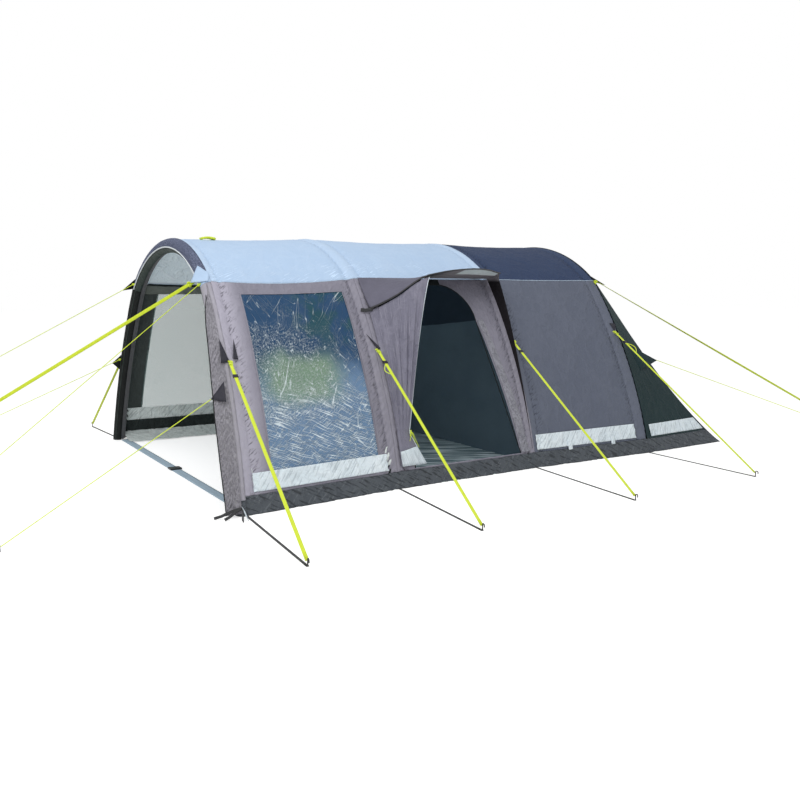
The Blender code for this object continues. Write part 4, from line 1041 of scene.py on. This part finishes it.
# The zip that the front door runs on, and the black piping beside it and down both legs.
made = Finish("zip_tape", {"Specular IOR Level": 0.4})
teeth = made.add("TexWave", {"bands_direction": "DIAGONAL"}, {"Vector": made.here(), "Scale": 90})
tape = made.mix(teeth, (0.62, 0.68, 0.72), (0.88, 0.92, 0.94))
zip_tape = made.show(tape, 0.5 + teeth * 0.1, teeth, 0.0008)
for name, turned, start, end, radius, finish in (
    ("front_zip", ZIP_TURN, WALL_AROUND + 0.05, ROOF_END + 0.02, 0.0060, zip_tape),
    ("front_zip_piping", ZIP_TURN + 0.055, WALL_AROUND, ROOF_END, 0.0030, black_cloth),
    ("far_leg_piping", 0.50, ROOF_END, ALL_AROUND - 0.02, 0.0040, facing_green),
    ("far_leg_edge", 0.72, ROOF_END, ALL_AROUND - 0.02, 0.0035, facing_green),
):
    course = [facing(HALF_GIRTH * turned, start + (end - start) * share) for share in shares(90)]
    trim_line("melange_cloth", name, course, radius, finish)


# Near corner of the front arch
# A silver corner of the roof folds over the band's near end, and a crumpled flap, piped in black,
# hangs down the near leg.
def outward(point, by):
    """The point, moved away from the tunnel's middle line."""
    away = Vector(((ARCHES[0] - point.x) / 2, point.y, point.z - 1.0))
    return point + away.normalized() * by


def roof_corner(girth, way):
    """A place on the silver corner, just clear of the facing under it."""
    return outward(facing(girth, way), 0.0015 + 0.001 * ripple(girth * 40, way * 30, 5))


trim("silver_cloth", "roof_corner_cloth", roof_corner, (0, WALL_AROUND - 0.012),
     (HALF_GIRTH * 0.74, WALL_AROUND + 0.115), silver, spacing=0.008)
FLAP_FOOT, FLAP_TOP, FLAP_PIPED = 0.02, 1.625, 1.59


def leg_flap(share, up):
    """A place on the flap, which is wider and more crumpled towards the ground."""
    wide = 0.026 + 0.095 * (1 - (up / 1.6) ** 3) - 0.018 * max(1 - up / 0.5, 0)
    wide = (wide + 0.005 * ripple(up * 5, 1, 1)) * min((1.66 - up) / 0.22, 1)
    x = ARCHES[0] - 0.034 - wide * (1 - share)
    dent = ripple(share * 2.2 + up * 5, up * 22 - share * 3, 6)
    crumple = 0.005 * (1 - 3.5 * abs(dent)) * sin(pi * min(0.15 + share, 1))
    return wall(x, up, crumple - 0.030 * (1 - share))


# A lighter copy of the mauve, as painted light on the near leg, with streaks of painted highlight
# and painted shade on its crumples.
crumpled = coated("crumpled_mauve", (0.235, 0.228, 0.260), (0.480, 0.465, 0.520), crease=2.2,
                  drawn=(0.9, 110, 34, 0.55, 0.68), shade_streaks=(0.7, 100, 30, 0.51, 0.64))
trim("mauve_cloth", "near_leg_flap", leg_flap, (0, FLAP_FOOT), (1, FLAP_TOP), crumpled,
     spacing=0.0085)
edge = [leg_flap(0, FLAP_FOOT + FLAP_PIPED * share) for share in shares(60)]
trim_line("mauve_cloth", "near_leg_flap_piping", edge, 0.0035, black_cloth)


# Stays of the guys
# Three-cornered pieces of doubled cloth, sewn over the sleeves where the guys are tied. They spread
# each guy's pull along the seam.
STAY_THICKNESS = 0.002


def stay(name, slot, finish, tip, corners):
    """A stay from its tip on a guy to two or more corners on the tent."""
    net = bmesh.new()
    net.faces.new([net.verts.new(point) for point in (tip, *corners)])
    bmesh.ops.triangulate(net, faces=net.faces[:])
    bmesh.ops.subdivide_edges(net, edges=net.edges[:], cuts=5, use_grid_fill=True)
    middle = sum((point.co for point in net.verts), Vector()) / len(net.verts)
    for point in net.verts:
        point.co += (middle - point.co).normalized() * 0.002 * ripple(*(point.co * 30))
    worn_by(thicken(put(f"{name}_stay", net, finish), STAY_THICKNESS), "tent", slot)


slate = coated("slate_tab_cloth", (0.022, 0.022, 0.032), (0.048, 0.047, 0.062))
for name, slot, finish, guy, down, aside, *corners in (
    ("front_leg_near", "mauve_cloth", slate, "front_leg_near", 0.100, (0, 0, 0),
     wall(-2.632, 0.915, 0.026), wall(-2.637, 0.775, 0.026)),
    ("front_leg_far", "melange_cloth", black_cloth, "front_leg_far", 0.10, (0, 0, 0),
     facing(0.085, ALL_AROUND - 1.06), facing(0.085, ALL_AROUND - 0.88)),
    ("front_eave_far", "melange_cloth", black_cloth, "front_eave_far", 0.14, (0, 0, 0),
     facing(0.06, ROOF_END - 0.09), facing(0.06, ROOF_END + 0.05)),
    ("front_eave_near", "silver_cloth", silver, "front_eave_near", 0.070, (-0.004, -0.010, 0.006),
     roof(-2.625, -0.845, 0.014), roof(-2.560, -0.930, 0.014), wall(-2.590, 1.636, 0.014)),
    ("near_1_front", "mauve_cloth", slate, "near_1", 0.01, (0, 0, 0),
     wall(-2.607, 1.215, 0.014), wall(-2.625, 1.045, 0.014)),
    ("near_1_rear", "mauve_cloth", slate, "near_1", 0.01, (0.028, 0.006, 0.022),
     wall(-2.492, 1.215, 0.004), wall(-2.484, 1.065, 0.006)),
    ("near_2", "mauve_cloth", slate, "near_2", 0.01, (0, 0, 0),
     wall(-1.315, 1.200, 0.006), wall(-1.205, 1.075, 0.006)),
    ("near_3", "mauve_cloth", slate, "near_3", 0.01, (0, 0, 0),
     wall(0.145, 1.175, 0.004), wall(0.215, 1.165, 0.004)),
    ("near_4", "charcoal_cloth", slate, "near_4", 0.01, (0, 0, 0),
     wall(1.470, 1.225, 0.004), wall(1.545, 1.215, 0.004)),
    ("far_1", "mauve_cloth", slate, "far_1", 0.01, (0, 0, 0),
     wall(-2.54, 1.12, 0.004, 1), wall(-2.47, 1.11, 0.004, 1)),
    ("rear_eave", "green_black_cloth", black_cloth, "rear_eave", 0.11, (0, -0.006, 0.012),
     roof(ARCHES[3] - 0.01, -0.95, 0.006), wall(ARCHES[3] - 0.01, 1.625, 0.006)),
    ("rear_corner", "green_black_cloth", green_black, "rear_corner", 0.12, (0, 0, 0),
     rear_side(0.30, 1.02), rear_side(0.36, 0.76)),
):
    start, end = (Vector(point) for point in {**FLAT_GUYS, **CORD_GUYS}[guy])
    tip = start + (end - start).normalized() * down + Vector(aside)
    stay(name, slot, finish, tip, corners)


# Feet and ridge of the front arch
# Loose ends of webbing lie about the near foot, three black ones and a broader pale one. A dark
# cover goes over each foot, and a bright tab stands up behind the band.
foot = wall(ARCHES[0] - 0.03, 0.0, 0.004)
for number, ahead, aside, lies, width, finish in (
    (1, -0.20, 0.02, 0.013, 0.020, black_webbing),
    (2, -0.15, -0.05, 0.013, 0.020, black_webbing),
    (3, -0.06, -0.15, 0.013, 0.020, black_webbing),
    (4, -0.02, -0.14, 0.018, 0.030, pale_band),
):
    end = foot + Vector((ahead, aside, lies))
    bend = [foot + up_by(0.06), foot.lerp(end, 0.35) + up_by(0.045),
            foot.lerp(end, 0.75) + up_by(0.012), end]
    tail = strap(f"near_foot_tail_{number}", bend, width, 0.004, finish, lean=(60, 60))
    worn_by(tail, "tent", "black_webbing")


def foot_cover(girth, way, side):
    """A place on a foot's cover, which is made for the near foot and mirrored for the far one."""
    near_one = outward(facing(girth, way), 0.006 + gathered(girth * 3, way, 0.002))
    return near_one * Vector((1, -side, 1))


for side, sign in SIDES:
    trim("charcoal_cloth", f"{side}_foot_cover", lambda girth, way: foot_cover(girth, way, sign),
         (0, 0.004), (HALF_GIRTH * 0.98, 0.125), skirt_cloth, spacing=0.01)
peak = [roof(ARCHES[0] + 0.22 + 0.13 * share, -0.15, 0.006 + 0.012 * sin(pi * share) ** 0.6)
        for share in (0, 0.12, 0.3, 0.5, 0.7, 0.88, 1)]
ridge_tab = strap("ridge_tab_webbing", peak, 0.060, 0.018, bright_webbing)
worn_by(ridge_tab, "tent", "bright_webbing")


# Door hood
# A bent glass-fibre pole in a sleeve holds a small roof out over the side door. Behind it the cloth
# folds down the third arch as a narrow gusset.
POLE_SHARES = (
    (0.025, 0.47, 0.0), (0.15, 0.77, 0.33), (0.265, 0.955, 0.72), (0.33, 0.975, 0.83),
    (0.48, 1.0, 0.94), (0.70, 0.86, 1.0), (0.86, 0.65, 0.97), (0.985, 0.45, 0.91),
)
POLE_FROM, POLE_TO, CORNER_SHARE = 0.025, 0.985, 0.33
HOOD_LENGTH, HOOD_OUT, HOOD_RISE, POLE_FOOT = 1.431, 0.43, 0.33, 1.40
WING_HEM = 0.17


def beside(x, height, away=0.0):
    """A place at a height, some way out from the door wall."""
    return Vector((x, wall(x, min(height, EAVE)).y - away, height))


def pole(share):
    """The middle of the pole, by a smooth curve through its measured places.

    Each place is a share of the hood's length, of its reach out from the eave and of its rise.
    """
    low = max(i for i, place in enumerate(POLE_SHARES[:-1]) if place[0] <= share + 0.0003)
    before, start, end, after = (POLE_SHARES[min(max(low + i, 0), 7)] for i in (-1, 0, 1, 2))
    t = (share - start[0]) / (end[0] - start[0])
    mixed = []
    for a, b, c, d in zip(before, start, end, after):
        bend = 2 * b + (c - a) * t + (2 * a - 5 * b + 4 * c - d) * t**2
        mixed.append((bend + (3 * b - a - 3 * c + d) * t**3) / 2)
    x = ARCHES[1] + HOOD_LENGTH * share
    z = POLE_FOOT + HOOD_RISE * mixed[2]
    clear = beside(x, min(z, EAVE), 0.0063).y
    return Vector((x, min(clear, -EAVE_HALF - HOOD_OUT * mixed[1]), z))


def hood(column, out):
    """A place on the hood: how far along the pole, then down the gusset, and how far out."""
    share = min(column, POLE_TO)
    down = max(column - POLE_TO, 0)
    edge = pole(share)
    inward = beside(edge.x, EAVE) - edge
    along = pole(min(share + 0.06, POLE_TO)) - pole(max(share - 0.06, POLE_FROM))
    inward = (inward - along * inward.dot(along) / along.length_squared).normalized()
    edge += inward * 0.0085
    inner = beside(edge.x, EAVE + (WING_HEM - EAVE) * down, -0.003)
    outer = Vector((edge.x, edge.y, edge.z + (WING_HEM - edge.z) * down))
    if down:
        stands_out = (beside(edge.x, EAVE).y - edge.y) * (1 - down) ** 2
        outer.y = beside(edge.x, outer.z).y - stands_out - 0.003
    point = inner.lerp(outer, out)
    point.z += 0.003 - 0.012 * sin(pi * out) * (1 - down)
    if point.z < EAVE:
        point.y = min(point.y, beside(edge.x, point.z, 0.003).y)
    return point


def shaded(name, light, dark, start, end, lining=False):
    """Coated cloth with painted shade: it goes from one colour to another along the tent, and is
    painted darker in its creases.

    The lining has a pale strip over the door as well, and is painted nearly black below the eave
    as shade.
    """
    made = Finish(name, {"Specular IOR Level": 0.2})
    here = made.here()
    x, y, up = made.parts(here, 0, 1, 2)
    creases = made.mottle(here, 9, 5)
    colour = made.mix((x + creases * 0.08).rising(start, end), light, dark)
    if lining:
        strip = x.rising(-0.40, -0.37) * (1 - x.rising(0.12, 0.14))
        strip = strip * (1 - (y - x * 0.2).rising(-1.155, -1.145))
        colour = made.mix(strip * up.rising(1.64, 1.66), colour, (0.72, 0.80, 0.82))
        colour = made.mix(1 - up.rising(1.62, 1.65), colour, (0.012, 0.010, 0.012))
    return made.show(made.mix(creases * 0.3, colour, (0.02, 0.02, 0.022)), 0.6, creases, 0.02)


# Painted shade: the hood's outside turns nearly black on the gusset, and its lining at its front
# end.
hood_cloth = shaded("hood_cloth", (0.150, 0.146, 0.195), (0.010, 0.009, 0.012), 0.02, 0.10)
taupe = shaded("taupe_lining", (0.010, 0.012, 0.014), (0.240, 0.225, 0.245), -0.66, -0.44,
               lining=True)
over_door = panel("door_hood_cloth", hood, (POLE_FROM, 0), (POLE_TO + 1, 1), hood_cloth, taupe,
                  spacing=0.015)
tent_cloth(over_door, "mauve_cloth", "door_hood")


# Front wing
# A curtain that hangs from the pole's front run and is gathered to a tie low on the second arch, so
# its folds fan out from the tie. Below the tie it flares again.
WING_BELOW_POLE = up_by(0.018)
WING_CLEAR = 0.010
TIE_HEIGHT, TIE_PLACE, FLARE = 0.42, ARCHES[1] + 0.15, 0.12
wing_start = pole(POLE_FROM) - WING_BELOW_POLE
wing_corner = pole(CORNER_SHARE) - WING_BELOW_POLE
TIE_DOWN = (wing_corner.z - TIE_HEIGHT) / (wing_corner.z - WING_HEM)


def free_edge(down):
    """A place on the curtain's free edge, in to the tie and out again below it."""
    height = wing_corner.z + (WING_HEM - wing_corner.z) * down
    if down < TIE_DOWN:
        drawn = down / TIE_DOWN
        x = wing_corner.x + (TIE_PLACE - wing_corner.x) * drawn**0.85
        held = beside(x, TIE_HEIGHT, WING_CLEAR)
        return Vector((x, wing_corner.y + (held.y - wing_corner.y) * drawn, height))
    flare = (down - TIE_DOWN) / (1 - TIE_DOWN)
    return beside(TIE_PLACE + FLARE * flare, height, WING_CLEAR)


def wing(across, down, out=0.0):
    """A place on the curtain, some way out from it."""
    top = pole(POLE_FROM + (CORNER_SHARE - POLE_FROM) * across) - WING_BELOW_POLE
    height = wing_start.z + (WING_HEM - wing_start.z) * down
    point = beside(wing_start.x, height, WING_CLEAR).lerp(free_edge(down), across)
    point += (top - wing_start.lerp(wing_corner, across)) * (1 - down)
    gather = sin(pi * min(down / 0.83, 1))
    folds = sin(2 * pi * 5 * across) + 0.5 * sin(2 * pi * 11 * across + 1 + 2 * down)
    point.y += 0.009 * folds * gather
    point.y = min(point.y, beside(point.x, point.z, 0.006).y) - out
    return point


# A darker copy of the mauve, as painted shade, with streaks of painted highlight on its folds.
wing_cloth = coated("wing_cloth", (0.150, 0.147, 0.200), (0.300, 0.292, 0.365), crease=1.6,
                    drawn=(1.45, 90, 5, 0.56, 0.70))
curtain = panel("hood_wing_cloth", wing, (0, 0), (1, 1), wing_cloth, spacing=0.010)
tent_cloth(curtain, "mauve_cloth", "hood_wing_front")
edge = [wing(1, share, 0.002) for share in shares(60)]
trim_line("mauve_cloth", "wing_edge_piping", edge, 0.0028, pale_band)
trim("silver_cloth", "wing_splash_band", lambda across, down: wing(across, down, 0.006),
     (0.02, 0.905), (1.0, 1.0), pale_band, spacing=0.02)
sleeve_end = beside(wing_start.x - 0.08, 1.39, 0.016)
holds = wing_start + Vector((0.02, -0.008, 0.012))
foot_strap = strap("pole_foot_webbing", [sleeve_end, sleeve_end.lerp(wing_start, 0.5), holds],
                   0.030, 0.003, black_webbing, lean=(90, 90))
worn_by(foot_strap, "tent", "black_webbing")


# Groundsheet and bedroom
# The groundsheet is tough striped sheet. The bedroom is a dark breathable inner tent that hangs
# inside the sleeping bay and slopes down with the back, and has netting in the top of its front.
made = Finish("floor_sheet", {"Coat Weight": 0.15})
here = made.here()
stripe = made.streaks(here, -0.62, 34, 2.2, 0.47, 0.60)
grain = made.mottle(here, 200, 2)
striped = made.mix(stripe, (0.14, 0.21, 0.24), (0.72, 0.84, 0.88))
floor_sheet = made.show(striped, 0.5 + grain * 0.2, grain, 0.0008)
low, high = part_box("groundsheet")


def on_ground(x, y):
    return Vector((x, y, high.z + 0.0008 * ripple(x * 4, y * 4, 0)))


sheet = panel("groundsheet_cloth", on_ground, low.xy, high.xy, floor_sheet, spacing=0.04,
              thickness=0.002)
tent_cloth(sheet, "floor_sheet", "groundsheet")
bedroom_cloth = coated("bedroom_cloth", (0.012, 0.020, 0.030), (0.026, 0.036, 0.048), rough=0.75)
BEDROOM_FROM, BEDROOM_IN = ARCHES[2] + 0.10, 0.203
BEDROOM_REAR, BEDROOM_REAR_HEIGHT, BEDROOM_FLOOR = REAR - 0.16, 0.03, 0.0045


def bedroom(x, way):
    """A place on the bedroom's shell, by the way round the tunnel that it hangs in."""
    sway = 0.010 * ripple(x * 3, way * 3, 1)
    point = around(min(x, ARCHES[3]), way, sway - BEDROOM_IN)
    if x > ARCHES[3]:
        rear_foot = Vector((BEDROOM_REAR, point.y, point.z * BEDROOM_REAR_HEIGHT / RIDGE))
        point = slope(rear_foot, point, 1 - (x - ARCHES[3]) / (REAR - ARCHES[3]))
    point.z = max(point.z, BEDROOM_FLOOR)
    return point


def bedroom_front(across, way):
    """A place on the bedroom's front, from -1 to 1 across and by the way up its edge."""
    edge = bedroom(BEDROOM_FROM, way)
    forward = 0.003 + 0.006 * ripple(across * 4, way * 2, 3)
    return Vector((edge.x - forward, edge.y * across, edge.z))


shell = panel("bedroom_shell_cloth", bedroom, (BEDROOM_FROM, 0), (REAR, ALL_AROUND), bedroom_cloth,
              spacing=0.04)
tent_cloth(shell, "bedroom_cloth", "bedroom_shell")
made = Finish("bedroom_front_cloth", {"Specular IOR Level": 0.3})
here = made.here()
across, up = made.parts(here, 1, 2)
netting = (up + across * 0.09 + made.mottle(here, 2) * 0.03).rising(1.205, 1.215)
holes = (across * 1500).math("SINE") * (up * 1500).math("SINE")
below = made.mix(made.mottle(here, 3, 4), (0.072, 0.120, 0.160), (0.110, 0.165, 0.205))
bedroom_front_cloth = made.show(made.mix(netting, below, (0.012, 0.028, 0.048)), 0.8 + holes * 0.02,
                                holes * 0.1 + made.mottle(here, 8, 4), 0.01)
front = panel("bedroom_front_cloth", bedroom_front, (-1, 0.004), (1, ALL_AROUND / 2 - 0.01),
              bedroom_front_cloth, spacing=0.05)
tent_cloth(front, "bedroom_cloth", "bedroom_front")


# Strap across the open front
# Pale webbing lies flat on the ground between the two feet of the front arch, and keeps them at
# their distance. Its halves meet in a flat moulded joiner.
pale_webbing = woven_strap("pale_webbing", (0.46, 0.60, 0.72), (0.32, 0.44, 0.54))
low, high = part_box("threshold_strap")
middle = (low.x + high.x) / 2
path = run((middle, low.y, 0.0017), (middle, high.y, 0.0017), 60)
across_front = strap("threshold_strap_webbing", path, high.x - low.x, 0.0028, pale_webbing)
worn_by(across_front, "tent", "pale_webbing", "threshold_strap")
refinish(black_plastic, "threshold_joiner")


# Tie of the front wing
# A short bright toggle on a loop of cord gathers the wing at the second arch. The cord's loose ends
# hang from it.
low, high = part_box("tie_toggle")
middle = (low + high) / 2
barrel = run((middle.x, middle.y, low.z), (middle.x, middle.y, high.z), 6)
toggle = line("tie_toggle_barrel", barrel, 0.0065, bright_cord)
worn_by(toggle, "tent", "bright_webbing", "tie_toggle")
for number, aside, drop in ((1, 0.035, 0.075), (2, 0.075, 0.120), (3, -0.015, 0.060)):
    course = [(0, -0.005, 0.012), (aside * 0.2, -0.012, 0.004), (aside * 0.5, -0.014, -drop * 0.5),
              (aside, -0.010, -drop)]
    trim_line("bright_webbing", f"tie_cord_{number}", [middle + Vector(place) for place in course],
              0.0022, bright_cord, smooth=True)


# Floor, backdrop and light
# A plain white floor runs out to a white surround, under one broad soft lamp and an even sky. Both
# look brighter to the camera than the light that they give, so that the surround stays plain.
FLOOR_HALF, FLOOR_LOW, FLOOR_LIFT = 60, 0.0005, 0.5
SKY_LIGHT, SKY_SEEN = 0.62, 1.0
LAMP_PLACE, LAMP_AIM = Vector((-4.5, -4.0, 8.5)), Vector((0, 0, 0.5))
made = Finish("floor_white", {"Emission Color": (1, 1, 1, 1)})
seen, mirrored = made.add("LightPath", output=("Is Camera Ray", "Is Glossy Ray"))
made.join(made.shader.inputs["Emission Strength"], seen.math("MAXIMUM", mirrored) * FLOOR_LIFT)
net = bmesh.new()
bmesh.ops.create_grid(net, x_segments=8, y_segments=8, size=FLOOR_HALF)
ground = put("floor", net, made.show((0.80, 0.80, 0.80), 0.9))
ground.location.z = -FLOOR_LOW

world = bpy.data.worlds.new("sky")
bpy.context.scene.world = world
world.use_nodes = True
sky = world.node_tree
background = sky.nodes["Background"]
background.inputs["Color"].default_value = (1, 1, 1, 1)
rays = sky.nodes.new("ShaderNodeLightPath")
level = sky.nodes.new("ShaderNodeMapRange")
level.inputs["To Min"].default_value = SKY_LIGHT
level.inputs["To Max"].default_value = SKY_SEEN
sky.links.new(rays.outputs["Is Camera Ray"], level.inputs["Value"])
sky.links.new(level.outputs["Result"], background.inputs["Strength"])

lamp_data = bpy.data.lights.new("soft_overhead", "AREA")
lamp_data.energy = 500
lamp_data.size = 9
lamp = bpy.data.objects.new("soft_overhead", lamp_data)
lamp.location = LAMP_PLACE
lamp.rotation_euler = (LAMP_PLACE - LAMP_AIM).to_track_quat("Z", "Y").to_euler()
bpy.context.scene.collection.objects.link(lamp)
bpy.context.scene.view_settings.view_transform = "Standard"
